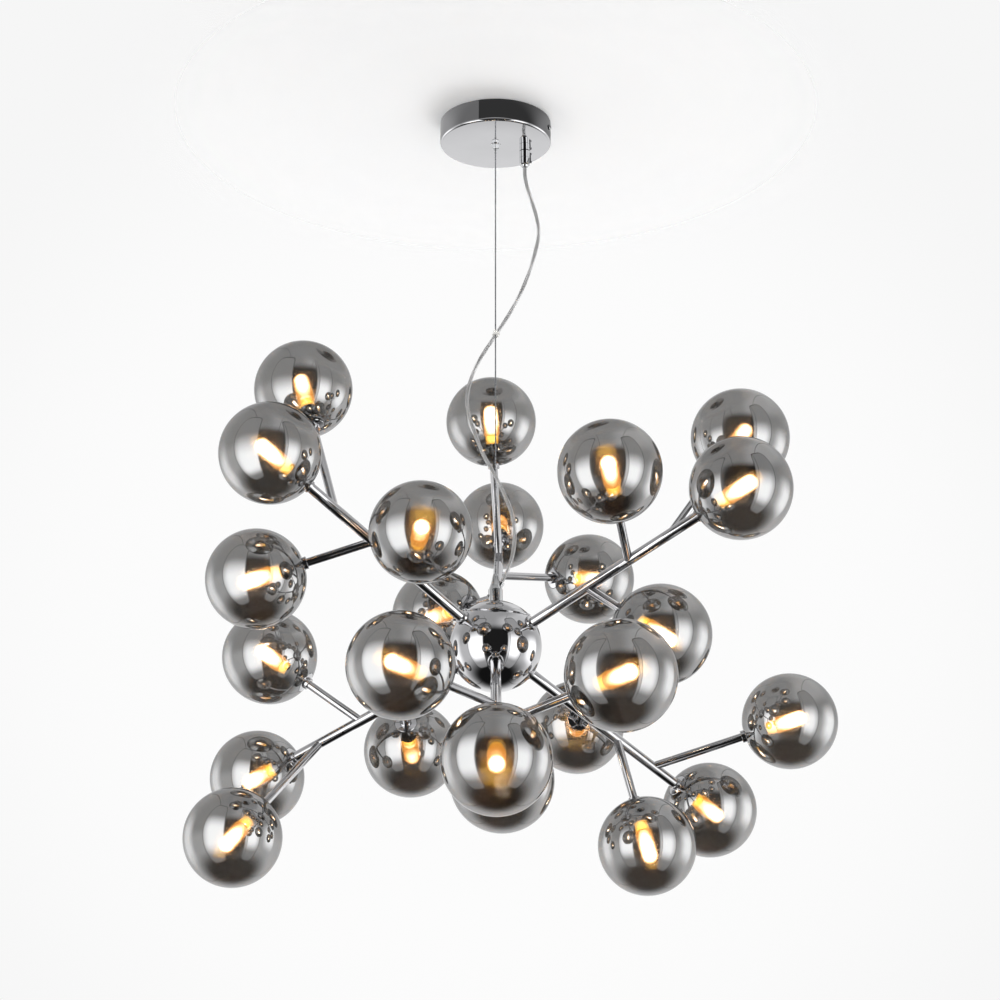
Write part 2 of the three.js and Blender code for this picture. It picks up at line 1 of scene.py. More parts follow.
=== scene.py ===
# %% [markdown]
# # A pendant light with branching arms and mirrored globes
# This lesson dresses a measured model of a ceiling lamp. The measured model says where each part
# is, and the pieces made here give those parts their fine shape and finish. All sizes are in
# metres, and +Z points up into the ceiling. The script starts by loading the measured frame.

# %% Load the frame
import json
import math

import bpy
from mathutils import Matrix, Vector


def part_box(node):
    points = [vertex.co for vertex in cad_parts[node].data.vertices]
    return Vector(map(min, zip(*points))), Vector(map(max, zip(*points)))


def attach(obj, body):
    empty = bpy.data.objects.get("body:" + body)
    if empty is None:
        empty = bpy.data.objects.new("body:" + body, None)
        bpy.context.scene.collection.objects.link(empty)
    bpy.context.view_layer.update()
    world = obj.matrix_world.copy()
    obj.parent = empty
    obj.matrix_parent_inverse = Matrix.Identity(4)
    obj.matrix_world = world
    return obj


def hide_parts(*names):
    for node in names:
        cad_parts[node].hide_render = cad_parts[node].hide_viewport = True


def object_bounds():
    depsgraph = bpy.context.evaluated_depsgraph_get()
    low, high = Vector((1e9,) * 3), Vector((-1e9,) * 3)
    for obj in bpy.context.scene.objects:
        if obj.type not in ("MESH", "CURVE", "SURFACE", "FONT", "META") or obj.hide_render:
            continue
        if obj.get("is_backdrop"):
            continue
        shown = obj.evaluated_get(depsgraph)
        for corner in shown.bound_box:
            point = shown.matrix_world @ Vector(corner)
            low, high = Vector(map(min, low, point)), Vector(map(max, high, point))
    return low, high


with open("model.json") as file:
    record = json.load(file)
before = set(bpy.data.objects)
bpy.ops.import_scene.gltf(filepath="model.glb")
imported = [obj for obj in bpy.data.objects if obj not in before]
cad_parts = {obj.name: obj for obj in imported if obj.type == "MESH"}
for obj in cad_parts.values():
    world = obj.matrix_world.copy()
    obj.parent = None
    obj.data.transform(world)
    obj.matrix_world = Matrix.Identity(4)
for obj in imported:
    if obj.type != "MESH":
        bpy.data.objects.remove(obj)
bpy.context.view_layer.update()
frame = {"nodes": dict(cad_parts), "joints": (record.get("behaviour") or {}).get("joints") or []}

# %% [markdown]
# ## The camera
# The photograph was taken from below the lamp's hub with a long lens, so parallel lines stay
# nearly parallel. The place, tilt and lens below were fitted to the globes' sizes and places.

# %% Camera
CAMERA_PLACE = (0, -2.1608, -1.0718)
CAMERA_TILT = math.radians(106.6)
CAMERA_LENS = 78.5
CAMERA_SHIFT = 0.0045

bpy.ops.object.select_all(action="DESELECT")
bpy.ops.object.camera_add(location=CAMERA_PLACE, rotation=(CAMERA_TILT, 0, 0))
camera = bpy.context.object
camera.data.lens = CAMERA_LENS
camera.data.shift_x = CAMERA_SHIFT
bpy.context.scene.camera = camera
print("camera at", CAMERA_PLACE, "lens", CAMERA_LENS)

# %% [markdown]
# ## Small helpers for materials
# Colours are written as the hex values a painter would pick on a screen. Blender's shaders want
# linear light, so one function converts them. Another adds a node with its settings and links.
# A link comes from a socket, or from a whole node where that has only one way out.

# %% Material helpers
def linear(hex_colour):
    channels = [int(hex_colour[i:i + 2], 16) / 255 for i in (1, 3, 5)]
    return tuple(c / 12.92 if c <= 0.04045 else ((c + 0.055) / 1.055) ** 2.4 for c in channels) + (1,)


def add_node(tree, kind, inputs=None, **settings):
    node = tree.nodes.new("ShaderNode" + kind)
    for name, value in settings.items():
        setattr(node, name, value)
    for name, value in (inputs or {}).items():
        if isinstance(value, bpy.types.Node):
            value = next(socket for socket in value.outputs if socket.enabled)
        if isinstance(value, bpy.types.NodeSocket):
            tree.links.new(value, node.inputs[name])
        else:
            node.inputs[name].default_value = value
    return node


def new_material(name, **shader_values):
    material = bpy.data.materials.new(name)
    material.use_nodes = True
    tree = material.node_tree
    shader = tree.nodes["Principled BSDF"]
    for socket, value in shader_values.items():
        shader.inputs[socket.replace("_", " ")].default_value = value
    return material, tree, shader


print("middle grey in linear light", round(linear("#808080")[0], 3))

# %% [markdown]
# ## The finishes
# Almost everything here is bright metal or coated glass, so the looks come from what is
# reflected. No surface is perfect: it has faint wipe marks that blur a reflection in places and
# dull the colour a little. These could be painted by hand, but a noise pattern on the object's
# own coordinates gives them all over, at a size in millimetres that is known for each finish.

# %% Marked surfaces
MM = 0.001
MARK_LEVELS = (0.3, 0.7)


def marked_finish(name, colour, roughness, smear, grain_mm, dulled=0.93, detail=2, **values):
    material, tree, shader = new_material(name, **values)
    place = add_node(tree, "TexCoord")
    noise = add_node(tree, "TexNoise", {
        "Vector": place.outputs["Object"], "Scale": 1 / (grain_mm * MM), "Detail": detail})
    spread = add_node(tree, "MapRange", {
        "Value": noise.outputs["Fac"], "From Min": MARK_LEVELS[0], "From Max": MARK_LEVELS[1],
        "To Min": roughness, "To Max": roughness + smear})
    tree.links.new(spread.outputs["Result"], shader.inputs["Roughness"])
    clean = linear(colour)
    tint = add_node(tree, "Mix", {
        "Factor": noise.outputs["Fac"], "A": clean, "B": (*(dulled * c for c in clean[:3]), 1)},
        data_type="RGBA")
    tree.links.new(tint.outputs["Result"], shader.inputs["Base Color"])
    return material


print("marks show from noise level", MARK_LEVELS[0], "to", MARK_LEVELS[1])

# %% [markdown]
# The metals are plated or drawn. Plate follows the polish of the brass or steel under it, so the
# canopy, hub and arms are nearly perfect mirrors, while small turned fittings keep finer marks.

# %% Metals
def metal(name, colour, roughness, smear, grain_mm):
    return marked_finish(name, colour, roughness, smear, grain_mm, dulled=0.94, detail=3, Metallic=1)


# Decorative chrome plate: nearly a perfect mirror, a little cool, with soft wipe marks 25 mm wide.
polished_chrome = metal("polished_chrome_plate", "#BDBDBF", 0.01, 0.015, 25)
# Small turned brass fittings, chrome plated, with finer marks left by the lathe.
fitting_chrome = metal("chrome_plated_brass", "#BEBFC0", 0.015, 0.02, 6)
# Zinc plated steel: a dull blue grey with spangles about 4 mm wide.
zinc_plate = metal("zinc_plated_steel", "#A6ABB0", 0.28, 0.2, 4)
# Drawn steel wire: fine lines from the die, drawn 1.5 mm wide here, because real ones are too
# fine to show.
bright_steel = metal("drawn_steel", "#A9ABAE", 0.2, 0.15, 1.5)
# Tinned copper strands in the clear cord: soft grey, with a dull bloom 2 mm wide.
tinned_copper = metal("tinned_copper_strands", "#C4C4C4", 0.28, 0.2, 2)
print("metals", [m.name for m in (
    polished_chrome, fitting_chrome, zinc_plate, bright_steel, tinned_copper)])

# %% [markdown]
# The globes are clear glass with a thin vacuum coating of metal, like a one-way mirror. Such a
# coating sends a third of the light back, lets a little through, and swallows the rest. One
# shader says this: a dark metal for the mirror, made partly see-through by its alpha. The blown
# glass under it is faintly hazy. A rough layer on the inside, which bends light only a little,
# spreads the lamp's edge into a warm glow 5 mm wide, and leaves the rest of the view clear.

# %% Coated glass and clear plastics
# Smoked mirror coating: the metal layer is a little uneven over 40 mm, as vapour leaves it. Its
# edge tint is greyer, because light at a slant goes a longer way through the smoke tint.
smoked_mirror = marked_finish("smoked_mirror_coating", "#A0A1A2", 0.006, 0.01, 40,
                              Metallic=1, Alpha=0.83, Specular_Tint=linear("#DCDCDC"))
# The hazy inside of the blown glass, a little amber from the deposit of the lamp's heat.
inner_haze = marked_finish("hazy_blown_glass", "#F6DDB6", 0.62, 0.08, 30,
                           Transmission_Weight=1, Alpha=0.24, IOR=1.13)
# Clear flexible vinyl round the power cord: a soft shine, and the cores show through it.
clear_vinyl = marked_finish("clear_vinyl_sheath", "#E6E6E7", 0.12, 0.1, 3, Alpha=0.26, IOR=1.53)
# Natural nylon of the little clip, moulded: milky, and slightly see-through.
milky_nylon = marked_finish("natural_nylon", "#F2F1ED", 0.3, 0.12, 2, Alpha=0.88, IOR=1.53)
# Moulded white polyamide of the terminal block and connector: warm white, with a satin skin.
white_polyamide = marked_finish("white_polyamide", "#E9E7E1", 0.42, 0.15, 1.5, IOR=1.53)
# Glazed ceramic face of the lampholders: creamy, with a wet shine.
glazed_ceramic = marked_finish("glazed_ceramic", "#ECE8DD", 0.18, 0.12, 5, IOR=1.6)
print("glass and plastics", [m.name for m in (
    smoked_mirror, inner_haze, clear_vinyl, milky_nylon, white_polyamide, glazed_ceramic)])

# %% [markdown]
# A lit lamp is brightest where we look straight into its frosted dome, and it turns warmer
# towards its rim and its foot. A single bright white would look flat. So the glow falls from a
# level far above white, which still looks white through the dark coating, to a weak amber.

# %% Glowing lamp
LAMP_GLOW = 84
LAMP_RIM_GLOW = 4
FOOT_GLOW = 14
FOOT_RIM_GLOW = 5
RIM_FADE = (0.05, 0.75)
LOW_END_FADE = 0.45
LOW_END_SHARE = 0.65


def glowing(name, hot, warm, strength, rim_strength, roughness):
    material, tree, shader = new_material(
        name, Base_Color=linear("#F3E6CC"), Roughness=roughness, IOR=1.5)
    slant = add_node(tree, "LayerWeight")
    along = add_node(tree, "Attribute", attribute_name="along")
    rim = add_node(tree, "MapRange", {
        "Value": slant.outputs["Facing"], "From Min": RIM_FADE[0], "From Max": RIM_FADE[1]})
    low_end = add_node(tree, "MapRange", {
        "Value": along.outputs["Fac"], "From Max": LOW_END_FADE, "To Min": LOW_END_SHARE, "To Max": 0})
    fade = add_node(tree, "Math", {0: rim, 1: low_end}, operation="ADD", use_clamp=True)
    tint = add_node(tree, "Mix", {
        "Factor": fade, "A": linear(hot), "B": linear(warm)}, data_type="RGBA")
    tree.links.new(tint.outputs["Result"], shader.inputs["Emission Color"])
    share = add_node(tree, "Math", {0: rim_strength / strength, 1: fade}, operation="POWER")
    glow = add_node(tree, "Math", {0: share, 1: strength}, operation="MULTIPLY")
    tree.links.new(glow.outputs["Value"], shader.inputs["Emission Strength"])
    return material


# Frosted glass dome over the light source: evenly bright, with an amber rim.
frosted_lamp = glowing("frosted_lamp_dome", "#FFF0D6", "#FFA22A", LAMP_GLOW, LAMP_RIM_GLOW, 0.4)
# Amber translucent foot under the dome, lit from above.
amber_foot = glowing("amber_lamp_foot", "#FFC64F", "#E09A24", FOOT_GLOW, FOOT_RIM_GLOW, 0.3)
print("lamp glow", LAMP_GLOW, "foot glow", FOOT_GLOW)

# %% [markdown]
# ## Small helpers for modelling
# A modeller works on one object at a time, with a clean selection. These helpers do what the
# hand would do: pick a piece, go into edit mode, and put the finished mesh in its place.

# %% Modelling helpers
def deselect_all():
    if bpy.context.mode != "OBJECT":
        bpy.ops.object.mode_set(mode="OBJECT")
    bpy.ops.object.select_all(action="DESELECT")


def pick(*chosen):
    deselect_all()
    for piece in chosen:
        piece.select_set(True)
    bpy.context.view_layer.objects.active = chosen[0]
    return chosen[0]


def name_piece(name):
    piece = bpy.context.object
    piece.name = name
    piece.data.name = name
    return piece


print("modelling starts with", len(bpy.data.meshes), "meshes")

# %% [markdown]
# A finished piece has its modifiers applied and its place put into its mesh, so its object stays
# at the origin. It then gets its material and the body that it rides on, and the measured parts
# that it stands for are hidden.

# %% Finishing helpers
def apply_modifier(piece, kind, **settings):
    pick(piece)
    bpy.ops.object.modifier_add(type=kind)
    modifier = piece.modifiers[-1]
    for key, value in settings.items():
        setattr(modifier, key, value)
    bpy.ops.object.modifier_apply(modifier=modifier.name)


def put(piece, matrix):
    pick(piece)
    piece.matrix_world = matrix
    bpy.ops.object.transform_apply(location=True, rotation=True, scale=True)
    return piece


def copy_of(piece, name):
    pick(piece)
    bpy.ops.object.duplicate(linked=False)
    return name_piece(name)


def joined(name, *chosen):
    pick(*chosen)
    bpy.ops.object.join()
    return name_piece(name)


def smooth(piece, degrees=30):
    pick(piece)
    bpy.ops.object.shade_smooth_by_angle(angle=math.radians(degrees))
    return piece


def finish_piece(piece, material, body, slot, *nodes):
    piece.data.materials.clear()
    piece.data.materials.append(material)
    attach(piece, body)
    if nodes:
        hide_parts(*nodes)
    return piece


# %% [markdown]
# Most fittings of a lamp are turned on a lathe. A spun profile would do, but it leaves seams and
# poles to close. Here a disc is extruded upwards again and again instead, and each new ring is
# resized to the radius that the outline has at that height. The outline of a small fitting is
# written in millimetres, as radius and height above a base.

# %% Turned pieces
MERGE_DISTANCE = 1e-7


def in_mm(base, *points):
    return [(radius * MM, base + height * MM) for radius, height in points]


def arc(centre_radius, centre_height, radius, first, last, steps):
    turns = [math.radians(first + (last - first) * i / steps) for i in range(steps + 1)]
    return [(centre_radius + radius * math.cos(t), centre_height + radius * math.sin(t)) for t in turns]


def turned(name, outline, sides=64, degrees=30):
    radius, height = outline[0]
    deselect_all()
    bpy.ops.mesh.primitive_circle_add(
        vertices=sides, radius=radius, fill_type="NGON", location=(0, 0, height))
    piece = name_piece(name)
    bpy.ops.object.transform_apply(location=True, rotation=True, scale=True)
    bpy.ops.object.mode_set(mode="EDIT")
    bpy.ops.mesh.select_all(action="SELECT")
    for next_radius, next_height in outline[1:]:
        bpy.ops.mesh.extrude_region_move(
            TRANSFORM_OT_translate={"value": (0, 0, next_height - height)})
        share = next_radius / radius
        bpy.ops.transform.resize(value=(share, share, 1), center_override=(0, 0, next_height))
        radius, height = next_radius, next_height
    bpy.ops.mesh.select_all(action="SELECT")
    bpy.ops.mesh.remove_doubles(threshold=MERGE_DISTANCE)
    bpy.ops.mesh.normals_make_consistent(inside=False)
    bpy.ops.object.mode_set(mode="OBJECT")
    return smooth(piece, degrees)


print("a quarter round in two steps", [(round(x, 3), round(z, 3)) for x, z in arc(0, 0, 1, 0, 90, 2)])

# %% [markdown]
# ## The power cord and the suspension wire
# The cord is a clear vinyl sheath over two stranded cores that lie side by side. It leaves the
# grip on the canopy, swings to the right, crosses behind the wire at a small clip, swings to the
# left and ends in the boss on the hub. Its route is a list of points.

# %% Cord route
CORD_ROUTE_MM = [
    (32.0, 16.2, -44.6),
    (32.0, 16.2, -52.0),
    (33.4, 15.9, -63.0),
    (38.1, 14.9, -81.0),
    (44.5, 13.2, -105.3),
    (46.5, 12.0, -122.3),
    (42.7, 10.3, -146.3),
    (31.1, 7.6, -184.4),
    (17.9, 5.5, -213.4),
    (4.9, 4.4, -236.2),
    (0.6, 4.3, -243.0),
    (-5.0, 4.2, -252.2),
    (-17.4, 3.6, -273.4),
    (-25.9, 2.6, -294.2),
    (-29.3, 1.4, -311.3),
    (-29.0, -0.2, -329.4),
    (-21.8, -1.8, -354.2),
    (-12.4, -3.4, -379.9),
    (-2.5, -4.4, -398.7),
    (7.0, -3.9, -418.0),
    (16.6, -2.7, -442.5),
    (19.6, -1.9, -463.7),
    (17.9, -1.1, -484.7),
    (13.4, -0.5, -500.5),
    (9.2, 0.0, -509.8),
    (6.8, 0.0, -514.1),
]
CLIP_POINT = 10
cord_route = [Vector(p) * MM for p in CORD_ROUTE_MM]
print("cord from", [round(x, 4) for x in cord_route[0]], "to", [round(x, 4) for x in cord_route[-1]])

# %% [markdown]
# A soft cord has no corners, so a smooth curve is laid through the points. It is then walked in
# equal steps, because a mesh with even steps keeps an even twist.

# %% Cord line
CORD_DIAMETER = 4.3 * MM
STEP_LENGTH = 0.45 * MM
CURVE_FINENESS = 64


def smooth_line(points, step):
    curve = bpy.data.curves.new("route", "CURVE")
    curve.dimensions = "3D"
    spline = curve.splines.new("BEZIER")
    spline.bezier_points.add(len(points) - 1)
    for knot, point in zip(spline.bezier_points, points):
        knot.co = point
        knot.handle_left_type = knot.handle_right_type = "AUTO"
    spline.resolution_u = CURVE_FINENESS
    carrier = bpy.data.objects.new("route", curve)
    bpy.context.scene.collection.objects.link(carrier)
    bpy.context.view_layer.update()
    shape = carrier.to_mesh()
    fine = [v.co.copy() for v in shape.vertices]
    carrier.to_mesh_clear()
    bpy.data.objects.remove(carrier)
    even = [fine[0]]
    carried = 0
    for before, after in zip(fine, fine[1:]):
        span = (after - before).length
        while carried + span >= step:
            before = before.lerp(after, (step - carried) / span)
            even.append(before)
            span = (after - before).length
            carried = 0
        carried += span
    even[-1] = fine[-1]
    return even


cord_line = smooth_line(cord_route, STEP_LENGTH)

# %% [markdown]
# A tube is skinned round a line: each ring of points stands square to the line, and the frame of
# one ring is carried on to the next without twist. A curve with a round bevel would do for a
# plain tube, but a stranded core needs a wavy section that turns as it goes, so that its lobes
# look like twisted strands. The lobes move on by one in each lay length.

# %% Tubes along a line
def carried_frames(points):
    frames = []
    side = None
    for i, point in enumerate(points):
        ahead = points[min(i + 1, len(points) - 1)] - points[max(i - 1, 0)]
        ahead.normalize()
        if side is None:
            side = ahead.orthogonal().normalized()
        side = (side - ahead * side.dot(ahead)).normalized()
        frames.append((point, side, ahead.cross(side)))
    return frames


def tube(name, points, radius, sides, lobes=0, wave=0, lay=1, offset=0, offset_lay=1):
    rings = []
    walked = 0
    frames = carried_frames(points)
    for i, (point, side, across) in enumerate(frames):
        if i:
            walked += (point - frames[i - 1][0]).length
        swing = 2 * math.pi * walked / offset_lay
        centre = point + offset * (side * math.cos(swing) + across * math.sin(swing))
        for k in range(sides):
            turn = 2 * math.pi * k / sides
            r = radius * (1 - wave * (0.5 - 0.5 * math.cos(lobes * turn - 2 * math.pi * walked / lay)))
            rings.append(centre + r * (side * math.cos(turn) + across * math.sin(turn)))
    faces = []
    for i in range(0, (len(points) - 1) * sides, sides):
        for k in range(sides):
            after = (k + 1) % sides
            faces.append((i + k, i + after, i + sides + after, i + sides + k))
    faces.append(tuple(reversed(range(sides))))
    faces.append(tuple(range((len(points) - 1) * sides, len(points) * sides)))
    mesh = bpy.data.meshes.new(name)
    mesh.from_pydata(rings, [], faces)
    piece = bpy.data.objects.new(name, mesh)
    bpy.context.scene.collection.objects.link(piece)
    return smooth(piece, 50)


print("frames carried along the cord", len(carried_frames(cord_line)))

# %% [markdown]
# The sheath is one smooth tube. Inside it are the two cores, which wind round each other. Vinyl
# bends light like a lens and makes the cores look as wide as the cord, so here they nearly fill
# it. The cord is the same from end to end, so its pieces follow one route.

# %% Power cord
CORE_RADIUS = 0.95 * MM
CORE_OFFSET = 0.98 * MM
CORE_LAY = 90 * MM
STRAND_LAY = 13 * MM
STRANDS = 7
STRAND_WAVE = 0.22
ROOT = "canopy_and_hub"

sheath_line = cord_line[::4] + [cord_line[-1]]
sheath = tube("power_cord_sheath", sheath_line, CORD_DIAMETER / 2, 24)
finish_piece(sheath, clear_vinyl, ROOT, "clear_cord", "power_cord")
for number, swap in ((1, 1), (2, -1)):
    core = tube(
        f"power_cord_core_{number}", cord_line[::2], CORE_RADIUS, 28,
        lobes=STRANDS, wave=STRAND_WAVE, lay=STRAND_LAY,
        offset=swap * CORE_OFFSET, offset_lay=CORE_LAY)
    finish_piece(core, tinned_copper, ROOT, "clear_cord")

# %% [markdown]
# The lamp hangs on a thin steel rope of six strands round a core. It is straight and taut, so
# two points are enough for its route. Six twisted strands would be six meshes, and one section
# with six lobes looks the same at this width. The real strands go round once in about 9 mm. That
# is too fine to show, so they are drawn with a long twist, whose lobes move on by one in 54 mm.

# %% Suspension wire
WIRE_DIAMETER = 1.5 * MM
WIRE_STEP = 0.5 * MM
ROPE_STRANDS = 6
ROPE_WAVE = 0.3
ROPE_LAY = 54 * MM
wire_low, wire_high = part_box("suspension_wire")
wire_top = Vector((0, 0, wire_high.z))
wire_bottom = Vector((0, 0, wire_low.z))
wire_length = (wire_top - wire_bottom).length
wire_steps = round(wire_length / WIRE_STEP)
wire_line = [wire_top.lerp(wire_bottom, i / wire_steps) for i in range(wire_steps + 1)]
wire = tube("suspension_rope", wire_line, WIRE_DIAMETER / 2, 24,
            lobes=ROPE_STRANDS, wave=ROPE_WAVE, lay=ROPE_LAY)
finish_piece(wire, bright_steel, ROOT, "steel_wire", "suspension_wire")
print("wire length", round(wire_length, 4), "faces", len(wire.data.polygons))

# %% [markdown]
# A small clip of natural nylon ties the cord to the wire where they cross: one ring round the
# cord and one round the wire, moulded together. Each ring is an open circle that is extruded
# round its own section and back to its start, and the two are made one by a Boolean modifier.

# %% Clip rings
CLIP_WALL = 1.3 * MM
CLIP_LENGTH = 5.2 * MM
CLIP_EDGE_SHARE = 0.25
CORD_PLAY = 0.1 * MM
WIRE_PLAY = 0.15 * MM
SEAM_DISTANCE = 1e-6


def sleeve(name, bore_radius, wall, length, sides=32):
    edge = wall * CLIP_EDGE_SHARE
    outline = [(bore_radius + edge, -length / 2), (bore_radius + wall - edge, -length / 2),
               (bore_radius + wall, -length / 2 + edge), (bore_radius + wall, length / 2 - edge),
               (bore_radius + wall - edge, length / 2), (bore_radius + edge, length / 2),
               (bore_radius, length / 2 - edge), (bore_radius, -length / 2 + edge)]
    deselect_all()
    bpy.ops.mesh.primitive_circle_add(
        vertices=sides, radius=outline[0][0], location=(0, 0, outline[0][1]))
    piece = name_piece(name)
    bpy.ops.object.transform_apply(location=True, rotation=True, scale=True)
    bpy.ops.object.mode_set(mode="EDIT")
    bpy.ops.mesh.select_all(action="SELECT")
    for (radius, height), (next_radius, next_height) in zip(outline, outline[1:] + outline[:1]):
        bpy.ops.mesh.extrude_region_move(
            TRANSFORM_OT_translate={"value": (0, 0, next_height - height)})
        share = next_radius / radius
        bpy.ops.transform.resize(value=(share, share, 1), center_override=(0, 0, next_height))
    bpy.ops.mesh.select_all(action="SELECT")
    bpy.ops.mesh.remove_doubles(threshold=SEAM_DISTANCE)
    bpy.ops.mesh.normals_make_consistent(inside=False)
    bpy.ops.object.mode_set(mode="OBJECT")
    return smooth(piece, 40)


def facing(direction, place):
    turn = Vector(direction).to_track_quat("Z", "Y")
    return Matrix.Translation(place) @ turn.to_matrix().to_4x4()


print("clip rings", round(CLIP_LENGTH, 4), "long with a wall of", round(CLIP_WALL, 4))

# %% [markdown]
# The ring on the cord is tilted with it, and the ring on the wire stands upright.

# %% Clip in place
clip_centre = cord_route[CLIP_POINT]
clip_slant = cord_route[CLIP_POINT - 1] - cord_route[CLIP_POINT + 1]
cord_ring = sleeve("clip_cord_ring", CORD_DIAMETER / 2 + CORD_PLAY, CLIP_WALL, CLIP_LENGTH)
put(cord_ring, facing(clip_slant, clip_centre))
wire_ring = sleeve("clip_wire_ring", WIRE_DIAMETER / 2 + WIRE_PLAY, CLIP_WALL, CLIP_LENGTH)
put(wire_ring, Matrix.Translation((0, 0, clip_centre.z)))
apply_modifier(cord_ring, "BOOLEAN", object=wire_ring, operation="UNION", solver="EXACT")
bpy.data.objects.remove(wire_ring)
clip = smooth(pick(cord_ring), 40)
clip.name = "nylon_cord_clip"
finish_piece(clip, milky_nylon, ROOT, "clear_plastic", "cord_clip")
print("clip faces", len(clip.data.polygons))

# %% [markdown]
# ## The canopy
# The canopy is a shallow cup pressed from steel and chromed. Its face is flat, its edge is a
# tight roll, and its wall is 1.2 mm thick. A cylinder with a bevel would have the edge but no
# inside, so it is turned. The outline runs from the middle of the face, round the edge, up the
# side, over the rim and down again inside.

# %% Canopy
CANOPY_RADIUS = 60 * MM
CANOPY_EDGE = 2.5 * MM
CANOPY_WALL = 1.2 * MM
CANOPY_DEPTH = 25 * MM
RIM_SHARE = 0.25


def canopy_outline():
    face = CANOPY_RADIUS - CANOPY_EDGE
    low = CANOPY_EDGE - CANOPY_DEPTH
    inside = CANOPY_EDGE - CANOPY_WALL
    lip = RIM_SHARE * CANOPY_WALL
    return (
        [(face * 0.5, -CANOPY_DEPTH)]
        + arc(face, low, CANOPY_EDGE, -90, 0, 8)
        + [(CANOPY_RADIUS, -lip), (CANOPY_RADIUS - lip, 0), (CANOPY_RADIUS - CANOPY_WALL + lip, 0),
           (CANOPY_RADIUS - CANOPY_WALL, -lip)]
        + arc(face, low, inside, 0, -90, 4)
    )


canopy = turned("canopy_cup", canopy_outline(), sides=160)
finish_piece(canopy, polished_chrome, ROOT, "canopy_chrome", "canopy_cover")
print("canopy faces", len(canopy.data.polygons))

# %% [markdown]
# Two small domed screws with a cross recess hold the canopy to its bracket, one on each side.
# A domed head is a turned piece. The recess could be a dark picture on it, but a real one
# catches the light, so it is cut by a cross of two thin blocks.

# %% Canopy side screws
SCREW_HEAD_RADIUS = 3.2 * MM
SCREW_HEAD_HEIGHT = 2.2 * MM
SCREW_SHANK_RADIUS = 1.6 * MM
SCREW_SHANK = 6 * MM
DOME_SHARE = 0.65
RECESS_LENGTH = 3.4 * MM
RECESS_WIDTH = 0.7 * MM
RECESS_FLOOR = 0.45 * SCREW_HEAD_HEIGHT
SCREW_PLAY = 0.1 * MM


def slot_cutter(length, width, height, base):
    deselect_all()
    bpy.ops.mesh.primitive_cube_add(size=1, location=(0, 0, base + height / 2))
    cutter = name_piece("recess_cutter")
    cutter.scale = (length, width, height)
    bpy.ops.object.transform_apply(location=True, rotation=True, scale=True)
    return cutter


def domed_screw(name):
    dome = [(SCREW_HEAD_RADIUS * across, SCREW_HEAD_HEIGHT * (1 - DOME_SHARE + DOME_SHARE * up))
            for across, up in arc(0, 0, 1, 0, 84, 7)]
    outline = [(SCREW_SHANK_RADIUS, -SCREW_SHANK), (SCREW_SHANK_RADIUS, 0),
               (SCREW_HEAD_RADIUS, 0)] + dome
    screw = turned(name, outline, sides=32)
    for turn in (0, 90):
        cutter = slot_cutter(RECESS_LENGTH, RECESS_WIDTH, SCREW_HEAD_HEIGHT, RECESS_FLOOR)
        put(cutter, Matrix.Rotation(math.radians(turn), 4, "Z"))
        apply_modifier(screw, "BOOLEAN", object=cutter, operation="DIFFERENCE", solver="EXACT")
        bpy.data.objects.remove(cutter)
    return smooth(screw, 35)


screw_master = domed_screw("screw_master")
for node in ("canopy_screw_right", "canopy_screw_left"):
    low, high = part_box(node)
    middle = (low + high) / 2
    outward = Vector((middle.x, middle.y, 0)).normalized()
    seat = outward * (CANOPY_RADIUS + SCREW_PLAY) + Vector((0, 0, middle.z))
    screw = copy_of(screw_master, node + "_head")
    put(screw, facing(outward, seat))
    finish_piece(screw, fitting_chrome, ROOT, "fitting_chrome", node)
print("screw faces", len(screw_master.data.polygons))
bpy.data.objects.remove(screw_master)

# %% [markdown]
# In the middle of the canopy sits the wire gripper: a hexagon body, and a sprung nipple that is
# pushed up to let the wire slide. A hexagon is a circle with six corners, so it is turned too,
# and small steps at its ends give the chamfers. The nipple moves inside, so the body is bored:
# a narrow mouth for its stem, and a wider chamber for its flange.

# %% Wire gripper
nipple_low, nipple_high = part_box("gripper_release_nipple")
GRIPPER_RADIUS = 4.62 * MM
GRIPPER_CHAMFER = 0.7 * MM
GRIPPER_EDGE = 0.25 * MM
BORE_MOUTH = 1.9 * MM
BORE_CHAMBER = 2.42 * MM
FLANGE_ROOM = 1.6 * MM
OVERRUN = 1 * MM
FACE_LAP = 0.1 * MM
hex_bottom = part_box("wire_gripper")[0].z
canopy_face = -CANOPY_DEPTH

gripper_hex = turned("wire_gripper_body", [
    (2.3 * MM, hex_bottom),
    (GRIPPER_RADIUS - GRIPPER_CHAMFER, hex_bottom),
    (GRIPPER_RADIUS, hex_bottom + GRIPPER_CHAMFER),
    (GRIPPER_RADIUS, canopy_face - GRIPPER_CHAMFER),
    (GRIPPER_RADIUS - GRIPPER_CHAMFER, canopy_face - FACE_LAP),
], sides=6, degrees=20)
apply_modifier(gripper_hex, "BEVEL", width=GRIPPER_EDGE, segments=3)
gripper_washer = turned(
    "gripper_washer", in_mm(canopy_face, (5.2, -0.9), (5.5, -0.6), (5.5, 0.1)), sides=48)
bore_step = nipple_high.z - FLANGE_ROOM
bore = turned("gripper_bore", [
    (BORE_MOUTH, hex_bottom - OVERRUN),
    (BORE_MOUTH, bore_step),
    (BORE_CHAMBER, bore_step),
    (BORE_CHAMBER, canopy_face + OVERRUN),
], sides=40)
for turned_part in (gripper_hex, gripper_washer):
    apply_modifier(turned_part, "BOOLEAN", object=bore, operation="DIFFERENCE", solver="EXACT")
bpy.data.objects.remove(bore)
gripper = joined("wire_gripper_body", gripper_hex, gripper_washer)
smooth(gripper, 25)
finish_piece(gripper, fitting_chrome, ROOT, "fitting_chrome", "wire_gripper")
